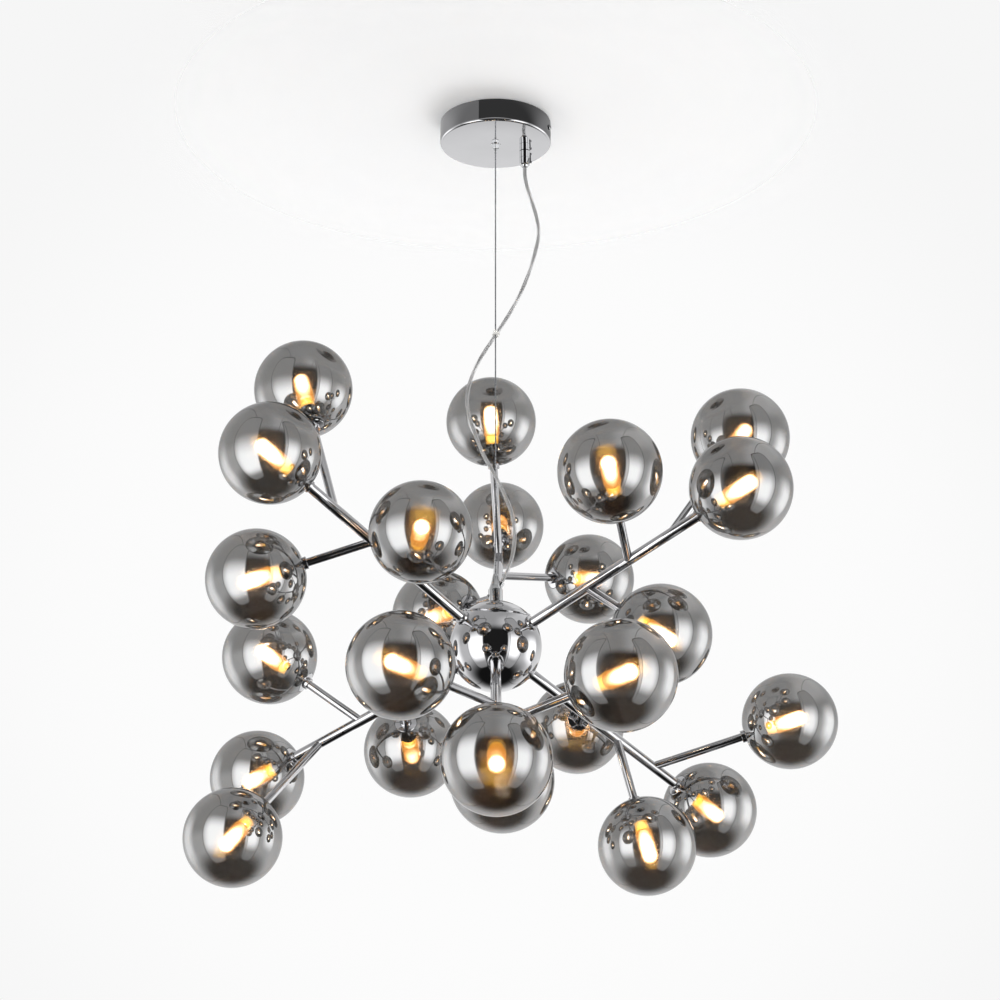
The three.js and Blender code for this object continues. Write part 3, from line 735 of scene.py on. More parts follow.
print("gripper from", round(hex_bottom, 4), "bore step at", round(bore_step, 4))

# %% [markdown]
# The nipple is one turned piece: a cone that the finger pushes, a stem, and a flange that stops
# in the chamber. It rides on the sliding body, and everything else here stays with the canopy.

# %% Gripper nipple
nipple = turned(
    "gripper_nipple",
    in_mm(nipple_low.z, (0.9, 0), (1.2, 0.2)) + in_mm(hex_bottom, (1.35, -2.6), (1.8, -2.1))
    + in_mm(nipple_high.z, (1.8, -1.5), (2.3, -1.5), (2.3, 0)), sides=40)
finish_piece(nipple, fitting_chrome, "gripper_release", "bright_steel", "gripper_release_nipple")
print("nipple from", round(nipple_low.z, 4), "to", round(nipple_high.z, 4))

# %% [markdown]
# The cord grip is a chromed barrel in two halves, so a fine joint runs round its middle. Two
# barrels would need a hidden seam, so the joint is a groove in one turned outline.

# %% Cord grip
GRIP_RADIUS = 5.7 * MM
GRIP_TIP = 3 * MM
GRIP_EDGE = 0.5 * MM
JOINT_WIDTH = 0.35 * MM
grip_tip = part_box("canopy_cord_grip")[0].z
grip_bottom = grip_tip + GRIP_TIP
grip_middle = (grip_bottom + canopy_face) / 2
grip_x, grip_y = cord_route[0].x, cord_route[0].y

barrel = turned("cord_grip_barrel", [
    *in_mm(grip_tip, (2.7, 0), (3.1, 0.3), (3.4, 1.2)),
    (GRIP_RADIUS - 3 * GRIP_EDGE, grip_bottom - GRIP_EDGE),
    (GRIP_RADIUS - GRIP_EDGE, grip_bottom),
    (GRIP_RADIUS, grip_bottom + GRIP_EDGE),
    (GRIP_RADIUS, grip_middle - JOINT_WIDTH / 2),
    (GRIP_RADIUS - JOINT_WIDTH, grip_middle - JOINT_WIDTH / 4),
    (GRIP_RADIUS - JOINT_WIDTH, grip_middle + JOINT_WIDTH / 4),
    (GRIP_RADIUS, grip_middle + JOINT_WIDTH / 2),
    (GRIP_RADIUS, canopy_face - GRIP_EDGE),
    (GRIP_RADIUS - GRIP_EDGE, canopy_face - FACE_LAP),
    (4.5 * MM, canopy_face - FACE_LAP),
], sides=72)
put(barrel, Matrix.Translation((grip_x, grip_y, 0)))
finish_piece(barrel, fitting_chrome, ROOT, "fitting_chrome", "canopy_cord_grip")
print("grip from", round(grip_tip, 4), "joint at", round(grip_middle, 4))

# %% [markdown]
# A clamp bar with two small screws stands at the right side of the barrel and presses on the
# cord. The bar is a block with bevelled edges, and each screw head is a small turned piece.

# %% Clamp bar
BAR_SIZE = (1.5 * MM, 3.0 * MM, 12.4 * MM)
BAR_EDGE = 0.45 * MM
BAR_STAND_OFF = 0.55 * MM
BAR_SCREW_SPACING = 9.2 * MM


def clamp_bar(name):
    deselect_all()
    bpy.ops.mesh.primitive_cube_add(size=1)
    bar = name_piece(name)
    bar.scale = BAR_SIZE
    bpy.ops.object.transform_apply(location=True, rotation=True, scale=True)
    apply_modifier(bar, "BEVEL", width=BAR_EDGE, segments=3)
    heads = []
    for end in (-1, 1):
        head = turned("clamp_screw", in_mm(
            0, (1.25, -2.2), (1.25, 0.5), (1, 0.8), (0.375, 0.9)), sides=24)
        place = Vector((BAR_SIZE[0] / 2, 0, end * BAR_SCREW_SPACING / 2))
        heads.append(put(head, facing((1, 0, 0), place)))
    return joined(name, bar, *heads)


bar = clamp_bar("cord_grip_clamp_bar")
put(bar, Matrix.Translation((grip_x + GRIP_RADIUS + BAR_STAND_OFF, grip_y, grip_middle)))
finish_piece(bar, fitting_chrome, ROOT, "fitting_chrome")
print("clamp bar faces", len(bar.data.polygons))

# %% [markdown]
# ## Places on the lamp
# The frame's joints say where every arm and globe is: an arm's joint gives the hub's centre and
# the arm's direction, and a globe's joint gives the globe's centre and the direction of its
# neck. All arms are alike, so an arm is modelled once, standing up along +Z, with its first
# branch towards +X, and then copied into its six places.

# %% Arm and globe places
joints = {joint["name"]: joint for joint in frame["joints"]}
ARM_NAMES = [name[:-len("_arm_turn")] for name in joints if name.endswith("_arm_turn")]
GLOBES_PER_ARM = 4


def globe_place(arm, number):
    joint = joints[f"{arm}_globe_{number}_unscrew"]
    return Vector(joint["pos_m"]), Vector(joint["axis"]).normalized()


def arm_matrix(arm):
    joint = joints[f"{arm}_arm_turn"]
    hub_centre = Vector(joint["pos_m"])
    along = Vector(joint["axis"]).normalized()
    first_centre = globe_place(arm, 1)[0]
    side = first_centre - hub_centre
    side = (side - along * side.dot(along)).normalized()
    turn = Matrix((side, along.cross(side), along)).transposed().to_4x4()
    return Matrix.Translation(hub_centre) @ turn


def local_ends(arm):
    back = arm_matrix(arm).inverted()
    turn_back = back.to_3x3()
    return [(back @ centre, turn_back @ direction)
            for centre, direction in (globe_place(arm, n + 1) for n in range(GLOBES_PER_ARM))]


hub_centre = Vector(joints[f"{ARM_NAMES[0]}_arm_turn"]["pos_m"])
arm_ends = local_ends(ARM_NAMES[0])
arm_reach = arm_ends[-1][0].length
print("arms", ARM_NAMES, "reach", round(arm_reach, 4))
for centre, direction in arm_ends:
    print("globe at", [round(x, 4) for x in centre], "neck along", [round(x, 3) for x in direction])

# %% [markdown]
# ## The hub
# The hub is a hollow ball in two pieces: a bowl, and a lid that drops on it. A dark line drawn
# on one ball would not catch the light as a real seam does. So a ball is cut at the seam by a
# plane, its open edge is folded in as a small lip, and the shell gets its thickness from a
# Solidify modifier. The lid leans a few degrees to the front right, so each shell is turned to
# that lean when it is put in its place.

# %% Hub
HUB_RADIUS = 47 * MM
HUB_WALL = 1.5 * MM
HUB_SEAM = 32.8 * MM
SEAM_GAP = 0.5 * MM
SEAM_LEAN = math.radians(9.3)
SEAM_LEAN_AZIMUTH = math.radians(298)
LIP_RISE = 0.072 * MM
LIP_SHARES = (0.994, 0.985)


def hub_shell(name, keep_above):
    height = HUB_SEAM + (SEAM_GAP / 2 if keep_above else -SEAM_GAP / 2)
    deselect_all()
    bpy.ops.mesh.primitive_uv_sphere_add(segments=128, ring_count=64, radius=HUB_RADIUS)
    shell = name_piece(name)
    bpy.ops.object.mode_set(mode="EDIT")
    bpy.ops.mesh.select_all(action="SELECT")
    bpy.ops.mesh.bisect(plane_co=(0, 0, height), plane_no=(0, 0, 1),
                        clear_inner=keep_above, clear_outer=not keep_above)
    rise = LIP_RISE if keep_above else -LIP_RISE
    for move, share in zip((rise, 0), LIP_SHARES):
        bpy.ops.mesh.extrude_edges_move(TRANSFORM_OT_translate={"value": (0, 0, move)})
        bpy.ops.transform.resize(value=(share, share, 1), center_override=(0, 0, height))
    bpy.ops.object.mode_set(mode="OBJECT")
    apply_modifier(shell, "SOLIDIFY", thickness=HUB_WALL, offset=-1)
    lean = (Matrix.Rotation(SEAM_LEAN_AZIMUTH, 4, "Z") @ Matrix.Rotation(SEAM_LEAN, 4, "Y")
            @ Matrix.Rotation(-SEAM_LEAN_AZIMUTH, 4, "Z"))
    put(shell, Matrix.Translation(hub_centre) @ lean)
    return smooth(shell, 40)


bowl = hub_shell("hub_ball_bowl", keep_above=False)
finish_piece(bowl, polished_chrome, ROOT, "hub_chrome", "hub_bowl")
lid = hub_shell("hub_ball_lid", keep_above=True)
finish_piece(lid, polished_chrome, ROOT, "hub_chrome", "hub_lid")
print("hub faces", len(bowl.data.polygons), len(lid.data.polygons))

# %% [markdown]
# A gland stands on the lid: a plain barrel with a long cone that carries the wire. A slanted
# boss on its right takes the cord, and a grub screw on its left clamps it. Barrel and boss are
# one casting, so two turned pieces are united by a Boolean modifier.

# %% Hub gland
GLAND_SEAT_RADIUS = 7.5 * MM
BARREL_LENGTH = 13.3 * MM
BOSS_TILT = math.radians(28)
BOSS_FOOT = (2.2 * MM, -1.2 * MM)
GRUB_DIRECTION = (-1, -0.25, 0)
GRUB_PLACE = (-7.081 * MM, -1.8 * MM, 6 * MM)
gland_base = hub_centre.z + math.sqrt(HUB_RADIUS ** 2 - GLAND_SEAT_RADIUS ** 2)
gland_shoulder = gland_base + BARREL_LENGTH
gland_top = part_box("hub_gland")[1].z

gland_body = turned(
    "gland_body",
    in_mm(gland_base, (7.3, -1.2)) + in_mm(gland_shoulder, (7.3, -0.6), (6.8, 0), (4.6, 6))
    + in_mm(gland_top, (3.1, -3), (2.6, -0.5), (2.2, 0)), sides=72)
boss = turned("gland_boss", in_mm(0, (3.2, -3), (3.2, 9.1), (2.8, 9.5)), sides=48)
boss_direction = Vector((math.sin(BOSS_TILT), 0, math.cos(BOSS_TILT)))
put(boss, facing(boss_direction, (BOSS_FOOT[0], 0, gland_shoulder + BOSS_FOOT[1])))
apply_modifier(gland_body, "BOOLEAN", object=boss, operation="UNION", solver="EXACT")
bpy.data.objects.remove(boss)
smooth(gland_body, 30)
grub = turned("gland_grub_screw", in_mm(
    0, (1.5, -2), (1.5, 0.9), (1.1, 1.2), (0.7, 1.2), (0.7, 0.3)), sides=32)
put(grub, facing(GRUB_DIRECTION, Vector(GRUB_PLACE) + Vector((0, 0, gland_base))))
finish_piece(gland_body, fitting_chrome, ROOT, "fitting_chrome", "hub_gland")
finish_piece(grub, fitting_chrome, ROOT, "fitting_chrome")
print("gland from", round(gland_base, 4), "to", round(gland_top, 4))

# %% [markdown]
# ## The arms
# An arm is a chromed tube with three thinner tubes welded to it, each at about 60 degrees. A
# round flange sits on the hub, and each end has a collar and the threaded cap that closes its
# globe. The cap follows the globe's ball, so each height on it comes from the ball's radius.

# %% Arm sizes and ends
ARM_TUBE = 5.25 * MM
BRANCH_TUBE = 4.3 * MM
FLANGE_RADIUS = 8 * MM
COLLAR_RADIUS = 6.5 * MM
COLLAR_LENGTH = 3.4 * MM
CAP_RADIUS = 11.6 * MM
CAP_THICKNESS = 3 * MM
GLOBE_RADIUS = 50 * MM
FINE = 0.35 * MM
CAP_STEPS = (COLLAR_RADIUS * 1.25, COLLAR_RADIUS * 1.5, CAP_RADIUS - FINE)


def height_on_globe(radius):
    return -math.sqrt(GLOBE_RADIUS ** 2 - radius ** 2)


CAP_RIM = height_on_globe(CAP_RADIUS)
CAP_INSIDE = CAP_RIM + CAP_THICKNESS


def end_outline(tube_radius, globe_distance):
    collar_top = height_on_globe(COLLAR_RADIUS)
    collar_foot = collar_top - COLLAR_LENGTH
    end = [(tube_radius, collar_foot), (COLLAR_RADIUS - FINE, collar_foot),
           (COLLAR_RADIUS, collar_foot + FINE), (COLLAR_RADIUS, collar_top)]
    end += [(radius, height_on_globe(radius)) for radius in CAP_STEPS]
    end += [(CAP_RADIUS, CAP_RIM + FINE), (CAP_RADIUS, CAP_INSIDE - FINE),
            (CAP_RADIUS - FINE, CAP_INSIDE)]
    return [(radius, globe_distance + height) for radius, height in end]


print("cap from", round(CAP_RIM, 4), "to", round(CAP_INSIDE, 4), "from the globe's middle")

# %% [markdown]
# Every tube is one turned outline, from its inner end to its cap, and the four are united by
# Boolean modifiers, which gives the clean welds. The arm is modelled once and copied six times.

# %% Arms
TUBE_START = 36 * MM
FLANGE_FOOT = 45.9 * MM
FLANGE_TOP = 49.3 * MM


def main_tube():
    outline = [(ARM_TUBE - FINE, TUBE_START), (ARM_TUBE, TUBE_START + FINE), (ARM_TUBE, FLANGE_FOOT),
               (FLANGE_RADIUS, FLANGE_FOOT), (FLANGE_RADIUS, FLANGE_TOP - 2 * FINE),
               (FLANGE_RADIUS - 0.6 * FINE, FLANGE_TOP - 0.6 * FINE),
               (FLANGE_RADIUS - 2 * FINE, FLANGE_TOP), (ARM_TUBE + 2 * FINE, FLANGE_TOP),
               (ARM_TUBE, FLANGE_TOP + 0.5 * FINE)]
    return turned("arm_master", outline + end_outline(ARM_TUBE, arm_reach), sides=48)


def branch_tube(centre, direction):
    lean = math.sin(math.acos(direction.z))
    distance = Vector((centre.x, centre.y, 0)).length / lean
    outline = [(BRANCH_TUBE, 0)] + end_outline(BRANCH_TUBE, distance)
    branch = turned("branch", outline, sides=40)
    return put(branch, facing(direction, centre - direction * distance))


arm_master = main_tube()
for centre, direction in arm_ends[:-1]:
    branch = branch_tube(centre, direction)
    apply_modifier(arm_master, "BOOLEAN", object=branch, operation="UNION", solver="EXACT")
    bpy.data.objects.remove(branch)
smooth(arm_master, 32)
for arm in ARM_NAMES:
    piece = copy_of(arm_master, f"{arm}_branched_tube")
    put(piece, arm_matrix(arm))
    finish_piece(piece, polished_chrome, f"{arm}_arm", "arm_chrome", f"{arm}_arm")
bpy.data.objects.remove(arm_master)
print("arm faces", len(piece.data.polygons))

# %% [markdown]
# ## The lamps
# In each globe a capsule lamp stands in a lampholder: a chromed cup with a ceramic face, the
# lamp's amber foot, and its frosted dome. One outline could hold them all, but each has a finish
# of its own, so the four are turned one by one. A value from foot to tip is stored on the points
# of dome and foot, so that their glow can fade along the lamp.

# %% Lamp parts
HOLDER_RADIUS = 9 * MM
HOLDER_TOP = CAP_INSIDE + 20 * MM
FOOT_RADIUS = 7.2 * MM
FOOT_TOP = HOLDER_TOP + 9 * MM
DOME_RADIUS = 8.5 * MM
DOME_TOP = FOOT_TOP + 35.5 * MM
DOME_SHOULDER = 2.5 * MM
WAIST_HEIGHT = 4 * MM
WAIST_RADIUS = 0.92 * FOOT_RADIUS
FOOT_SUNK = 1 * MM


def painted_along(piece, low, high):
    values = [min(max((v.co.z - low) / (high - low), 0), 1) for v in piece.data.vertices]
    layer = piece.data.attributes.new("along", "FLOAT", "POINT")
    layer.data.foreach_set("value", values)
    return piece


def lamp_dome():
    outline = [(FOOT_RADIUS - FINE, FOOT_TOP), (DOME_RADIUS - FINE, FOOT_TOP + DOME_SHOULDER / 2),
               (DOME_RADIUS, FOOT_TOP + DOME_SHOULDER)]
    outline += arc(0, DOME_TOP - DOME_RADIUS, DOME_RADIUS, 0, 84, 9)
    return painted_along(turned("dome_master", outline, sides=48, degrees=60), FOOT_TOP, DOME_TOP)


def lamp_foot():
    waist = HOLDER_TOP + WAIST_HEIGHT
    outline = [(WAIST_RADIUS, HOLDER_TOP - FOOT_SUNK), (WAIST_RADIUS, waist),
               (FOOT_RADIUS, waist + 2 * FINE), (FOOT_RADIUS, FOOT_TOP - FINE),
               (FOOT_RADIUS - FINE, FOOT_TOP)]
    return painted_along(turned("foot_master", outline, sides=40), HOLDER_TOP, FOOT_TOP)


def lamp_cup():
    outline = [(HOLDER_RADIUS - FINE, CAP_INSIDE), (HOLDER_RADIUS, CAP_INSIDE + FINE),
               (HOLDER_RADIUS, HOLDER_TOP - 2 * FINE), (HOLDER_RADIUS - FINE, HOLDER_TOP - FINE)]
    return turned("cup_master", outline, sides=48)


def lamp_face():
    edge = HOLDER_RADIUS - 2 * FINE
    outline = [(edge, HOLDER_TOP - 2 * FINE), (edge, HOLDER_TOP - FINE / 2), (edge - FINE, HOLDER_TOP)]
    return turned("face_master", outline, sides=48)


print("lamp from", round(HOLDER_TOP, 4), "to", round(DOME_TOP, 4), "from the globe's middle")

# %% [markdown]
# The lamps of one arm are switched and finished together, so the four domes of an arm are one
# piece, and so are its feet, cups and faces. Each set is put together once, on the arm that
# stands along +Z, and then copied to the six arms.

# %% Lamps in place
LAMP_PARTS = [
    ("lamp_domes", lamp_dome(), frosted_lamp, "lamp"),
    ("lamp_feet", lamp_foot(), amber_foot, "lamp"),
    ("lampholder_cups", lamp_cup(), fitting_chrome, "fitting_chrome"),
    ("lampholder_faces", lamp_face(), glazed_ceramic, "white_plastic"),
]
for part, master, material, slot in LAMP_PARTS:
    four = [put(copy_of(master, "lamp_copy"), facing(direction, centre))
            for centre, direction in arm_ends]
    set_master = joined("lamp_set", *four)
    for arm in ARM_NAMES:
        piece = copy_of(set_master, f"{arm}_{part}")
        put(piece, arm_matrix(arm))
        nodes = [f"{arm}_lamps"] if part == "lamp_domes" else []
        finish_piece(piece, material, f"{arm}_arm", slot, *nodes)
    bpy.data.objects.remove(set_master)
    bpy.data.objects.remove(master)
print("lamps", len(ARM_NAMES) * GLOBES_PER_ARM)

# %% [markdown]
# ## The globes
# A globe is a blown ball of glass with a round opening, whose rim is drawn in to a short neck
# that the cap fills. A ball is cut by a plane at the opening, and the open edge is extruded
# inwards to make the neck. Solidify gives the wall, and puts the inside in a second material
# slot, because the mirror coating is on the outside and the inside shows the hazy glass.

# %% Globe
GLOBE_WALL = 1.5 * MM
NECK_RADIUS = 12.1 * MM
NECK_STEPS = [(0.3 * MM, 0.985), (0.5 * MM, 0.995), (7 * MM, 1)]


def globe_shell():
    rim = height_on_globe(NECK_RADIUS)
    deselect_all()
    bpy.ops.mesh.primitive_uv_sphere_add(segments=96, ring_count=48, radius=GLOBE_RADIUS)
    shell = name_piece("globe_master")
    bpy.ops.object.mode_set(mode="EDIT")
    bpy.ops.mesh.select_all(action="SELECT")
    bpy.ops.mesh.bisect(plane_co=(0, 0, rim), plane_no=(0, 0, 1), clear_inner=True)
    for rise, share in NECK_STEPS:
        bpy.ops.mesh.extrude_edges_move(TRANSFORM_OT_translate={"value": (0, 0, rise)})
        bpy.ops.transform.resize(value=(share, share, 1), center_override=(0, 0, rim))
    bpy.ops.object.mode_set(mode="OBJECT")
    shell.data.materials.append(smoked_mirror)
    shell.data.materials.append(inner_haze)
    apply_modifier(shell, "SOLIDIFY", thickness=GLOBE_WALL, offset=-1, material_offset=1,
                   material_offset_rim=1)
    return smooth(shell, 40)


globe_master = globe_shell()
print("globe faces", len(globe_master.data.polygons))

# %% [markdown]
# All the globes are alike, so the one above is copied to each place, with its neck turned to its
# own arm. Each one unscrews on its own, so it rides on a body of its own.

# %% Globes in place
for arm in ARM_NAMES:
    for number in range(1, GLOBES_PER_ARM + 1):
        centre, direction = globe_place(arm, number)
        name = f"{arm}_globe_{number}"
        piece = put(copy_of(globe_master, name + "_glass"), facing(direction, centre))
        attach(piece, name)
        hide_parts(name)
bpy.data.objects.remove(globe_master)
print("globes", len(ARM_NAMES) * GLOBES_PER_ARM)

# %% [markdown]
# ## Hidden parts
# The bracket, the nuts, the terminal block and the connector are inside the canopy and the hub.
# Nobody sees them there, so they keep their measured shape, and only get their real finish.

# %% Finishes of the hidden parts
HIDDEN_FINISH = {
    zinc_plate: ["ceiling_bracket", "wire_gripper_nut", "cord_grip_nut", "hub_gland_nut"]
    + [f"{arm}_arm_nut" for arm in ARM_NAMES],
    white_polyamide: ["ceiling_terminal_block", "hub_connector_block"],
}
for material, nodes in HIDDEN_FINISH.items():
    for node in nodes:
        mesh = frame["nodes"][node].data
        mesh.materials.clear()
        mesh.materials.append(material)
print("hidden parts", sum(len(nodes) for nodes in HIDDEN_FINISH.values()))

# %% [markdown]
# ## The studio
# The lamp was photographed between tall soft boards, two in front and two behind, against white.
# Its mirrors show the front boards as bright upright patches, with a dark gap between them where
# the camera stands. Area lamps would give the light but not these shapes, so each board is a
# glowing panel that the camera does not see. The table has its places in metres from the middle
# of the hub: first the end nearest the camera, then the other end.

# %% The boards' places and levels
BOARD_BASE = 0.58
BOARD_FOOT = 0.36
BOARDS = [
    # name, first end, other end, low and high edge, core glow, middle of the core,
    # half size of its flat part, width of its soft edge, fades out
    ("left_front_board", (-0.43, -0.744), (-0.97, -0.31), (-1.5, 1.4), 3.0, (0.26, -0.2),
     (0.17, 0.15), (0.4, 0.56), False),
    ("right_front_board", (1.0, -1.73), (1.92, -0.66), (-3.3, 3.2), 3.0, (0.52, -0.36),
     (0.32, 0.2), (0.8, 1.15), False),
    ("left_rear_board", (-2.0, 0.05), (-1.2, 1.5), (-1.8, 1.4), 2.2, (0.88, -0.2),
     (0.15, 0.18), (0.65, 0.9), True),
    ("right_rear_board", (1.85, -0.65), (1.75, 1.03), (-1.5, 1.2), 2.8, (1.13, -0.15),
     (0.15, 0.15), (0.85, 0.8), True),
]
print("boards", [board[0] for board in BOARDS])

# %% [markdown]
# The two front boards have round corners and a thin dark border, like a fabric softbox. A
# square whose sides are raised to the sixth power has such round corners. The right board is
# sewn from a narrow dim strip and a wide bright one, with a seam between them.

# %% Board borders and seam
CORNER_POWER = 6
BORDER = (0.62, 1.0)
BORDER_SHARE = 0.35
STRIP_BOARD = "right_front_board"
STRIP_WIDTH = 0.25
STRIP_SHARE = 0.42
SEAM_WIDTH = 0.025
SEAM_DARKENING = 0.5


def board_border(tree, place, width, low, high):
    from_middle = add_node(tree, "Mapping", {
        "Vector": place.outputs["Object"], "Location": (width / 2, (low + high) / 2, 0),
        "Scale": (width / 2, (high - low) / 2, 1)}, vector_type="TEXTURE")
    part = add_node(tree, "SeparateXYZ", {"Vector": from_middle})
    across = add_node(tree, "Math", {0: part.outputs["X"], 1: CORNER_POWER}, operation="POWER")
    up = add_node(tree, "Math", {0: part.outputs["Y"], 1: CORNER_POWER}, operation="POWER")
    far = add_node(tree, "Math", {0: across, 1: up}, operation="ADD")
    line = add_node(tree, "Math", {0: far, 1: BORDER[0]}, operation="GREATER_THAN")
    shade = add_node(tree, "Math", {0: line, 1: BORDER_SHARE - 1, 2: 1}, operation="MULTIPLY_ADD")
    cover = add_node(tree, "Math", {0: far, 1: BORDER[1]}, operation="LESS_THAN")
    return shade, cover


def sewn_strip(tree, along, mask, shade):
    beyond = add_node(tree, "Math", {0: along, 1: STRIP_WIDTH}, operation="GREATER_THAN")
    strip = add_node(tree, "Math", {0: beyond, 1: STRIP_SHARE}, operation="MAXIMUM")
    seam = add_node(tree, "Math", {0: along, 1: STRIP_WIDTH, 2: SEAM_WIDTH}, operation="COMPARE")
    thread = add_node(tree, "Math", {0: seam, 1: -SEAM_DARKENING, 2: 1}, operation="MULTIPLY_ADD")
    return (add_node(tree, "Math", {0: mask, 1: strip}, operation="MULTIPLY"),
            add_node(tree, "Math", {0: shade, 1: thread}, operation="MULTIPLY"))


print("border from", BORDER[0], "strip", STRIP_WIDTH, "m wide")

# %% [markdown]
# A lamp behind the cloth gives each board a bright core that falls off softly. The rear boards
# are seen by the mirrors alone too, and fade out to nothing. No board lights matt things, because
# the world does that: a ray that has met a matt surface has a diffuse depth of 1 or more.

# %% Board cloth
def seen_in_mirrors(tree, strength):
    path = add_node(tree, "LightPath")
    direct = add_node(tree, "Math", {0: path.outputs["Diffuse Depth"], 1: 0.5}, operation="LESS_THAN")
    return add_node(tree, "Math", {0: strength, 1: direct}, operation="MULTIPLY")


def board_core(tree, part, middle, flat, soft):
    masks = []
    for axis, centre, half, fall in zip("XY", middle, flat, soft):
        beside = add_node(tree, "Math", {0: part.outputs[axis], 1: centre}, operation="SUBTRACT")
        far = add_node(tree, "Math", {0: beside}, operation="ABSOLUTE")
        masks.append(add_node(tree, "MapRange", {
            "Value": far, "From Min": half, "From Max": half + fall, "To Min": 1, "To Max": 0},
            interpolation_type="SMOOTHSTEP"))
    return add_node(tree, "Math", {0: masks[0], 1: masks[1]}, operation="MULTIPLY")


def board_cloth(name, width, low, high, core_glow, middle, flat, soft, fades_out):
    material, tree, shader = new_material(name + "_cloth")
    tree.nodes.remove(shader)
    place = add_node(tree, "TexCoord")
    part = add_node(tree, "SeparateXYZ", {"Vector": place.outputs["Object"]})
    mask = board_core(tree, part, middle, flat, soft)
    if fades_out:
        cover, strength = mask, core_glow
    else:
        shade, cover = board_border(tree, place, width, low, high)
        if name == STRIP_BOARD:
            mask, shade = sewn_strip(tree, part.outputs["X"], mask, shade)
        base = add_node(tree, "MapRange", {
            "Value": part.outputs["Y"], "From Min": low, "From Max": low / 2,
            "To Min": BOARD_FOOT, "To Max": BOARD_BASE}, interpolation_type="SMOOTHSTEP")
        glow = add_node(tree, "Mix", {"Factor": mask, "A": base, "B": core_glow})
        strength = add_node(tree, "Math", {0: glow, 1: shade}, operation="MULTIPLY")
    light = add_node(tree, "Emission", {"Strength": seen_in_mirrors(tree, strength)})
    clear = add_node(tree, "BsdfTransparent")
    mix = add_node(tree, "MixShader", {"Fac": cover, 1: clear, 2: light})
    tree.links.new(mix.outputs["Shader"], tree.nodes["Material Output"].inputs["Surface"])
    return material


print("board base", BOARD_BASE, "falling to", BOARD_FOOT, "at its foot")

# %% [markdown]
# Each board is a plane that is scaled to its size, and then moved in edit mode so that its
# origin lies at its first end. Its own X axis then runs along the board and its Y axis up.

# %% Boards set up
for name, first, last, (low, high), *levels in BOARDS:
    near, far = Vector((*first, 0)), Vector((*last, 0))
    along = far - near
    deselect_all()
    bpy.ops.mesh.primitive_plane_add(size=1)
    board = name_piece(name)
    board.scale = (along.length, high - low, 1)
    bpy.ops.object.transform_apply(location=False, rotation=False, scale=True)
    bpy.ops.object.mode_set(mode="EDIT")
    bpy.ops.mesh.select_all(action="SELECT")
    bpy.ops.transform.translate(value=(along.length / 2, (low + high) / 2, 0))
    bpy.ops.object.mode_set(mode="OBJECT")
    board.location = hub_centre + near
    board.rotation_euler = (math.radians(90), 0, math.atan2(along.y, along.x))
    board.data.materials.append(board_cloth(name, along.length, low, high, *levels))
    board.visible_camera = False
    board.visible_diffuse = False
    board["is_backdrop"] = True
    print(name, "width", round(along.length, 2), "height", round(high - low, 2))

# %% [markdown]
# Around the canopy the ceiling carries a dark card, which the canopy's upright side mirrors. It
# is darkest in front, paler at the rear, and paler again left of a straight edge. Ceiling and
# floor show one side only and fade out, so that they never stand between the lamp and a camera
# above or below them.

# %% Dark card and one-sided surfaces
CARD_RADIUS = 0.118
CARD_DARK = 0.06
CARD_LEFT = 0.2
CARD_REAR = 0.33
CARD_REAR_FADE = (-0.066, -0.01)
CARD_CORNER = (-0.0178, -0.0573, 0)
CARD_NORMAL = (-0.824, 0.567, 0)


def one_sided(tree, surface, fade):
    back = add_node(tree, "NewGeometry")
    clear = add_node(tree, "BsdfTransparent")
    hide = add_node(tree, "Math", {0: back.outputs["Backfacing"], 1: fade}, operation="MAXIMUM")
    mix = add_node(tree, "MixShader", {"Fac": hide, 1: surface, 2: clear})
    tree.links.new(mix.outputs["Shader"], tree.nodes["Material Output"].inputs["Surface"])


def card_levels(tree, place, far):
    part = add_node(tree, "SeparateXYZ", {"Vector": place})
    rear = add_node(tree, "MapRange", {
        "Value": part.outputs["Y"], "From Min": CARD_REAR_FADE[0], "From Max": CARD_REAR_FADE[1],
        "To Min": CARD_DARK, "To Max": CARD_REAR}, interpolation_type="SMOOTHSTEP")
    from_corner = add_node(tree, "VectorMath", {0: place, 1: CARD_CORNER}, operation="SUBTRACT")
    side = add_node(tree, "VectorMath", {0: from_corner, 1: CARD_NORMAL}, operation="DOT_PRODUCT")
    left = add_node(tree, "Math", {0: side, 1: 0}, operation="GREATER_THAN")
    card = add_node(tree, "Math", {0: left, 1: CARD_LEFT, 2: rear}, operation="MULTIPLY_ADD")
    beyond = add_node(tree, "Math", {0: far, 1: CARD_RADIUS}, operation="GREATER_THAN")
    return add_node(tree, "Mix", {"Factor": beyond, "A": card, "B": BOARD_BASE})


print("card radius", CARD_RADIUS)

# %% [markdown]
# A board on the ceiling catches the canopy's soft shadow, and fades out into the white
# background. It is a disc just above the canopy's rim, turned over so that it faces down. The
# card is seen in mirrors alone, so its shader is picked for glossy rays.

# %% Ceiling board
CEILING_FADE = (0.2, 0.42)
CEILING_GAP = 0.0004


def ceiling_paint():
    # Matt white paint, a touch cool, because the lamps warm it.
    material, tree, shader = new_material(
        "matt_white_ceiling", Base_Color=linear("#F7F8F9"), Roughness=1, Specular_IOR_Level=0)
    seen = add_node(tree, "LightPath")
    place = add_node(tree, "TexCoord")
    far = add_node(tree, "VectorMath", {0: place.outputs["Object"]}, operation="LENGTH")
    card = add_node(tree, "Emission", {"Strength": card_levels(tree, place.outputs["Object"], far)})
    surface = add_node(tree, "MixShader", {"Fac": seen.outputs["Is Glossy Ray"], 1: shader, 2: card})
    fade = add_node(tree, "MapRange", {
        "Value": far, "From Min": CEILING_FADE[0], "From Max": CEILING_FADE[1]},
        interpolation_type="SMOOTHSTEP")
    one_sided(tree, surface, fade)
    return material


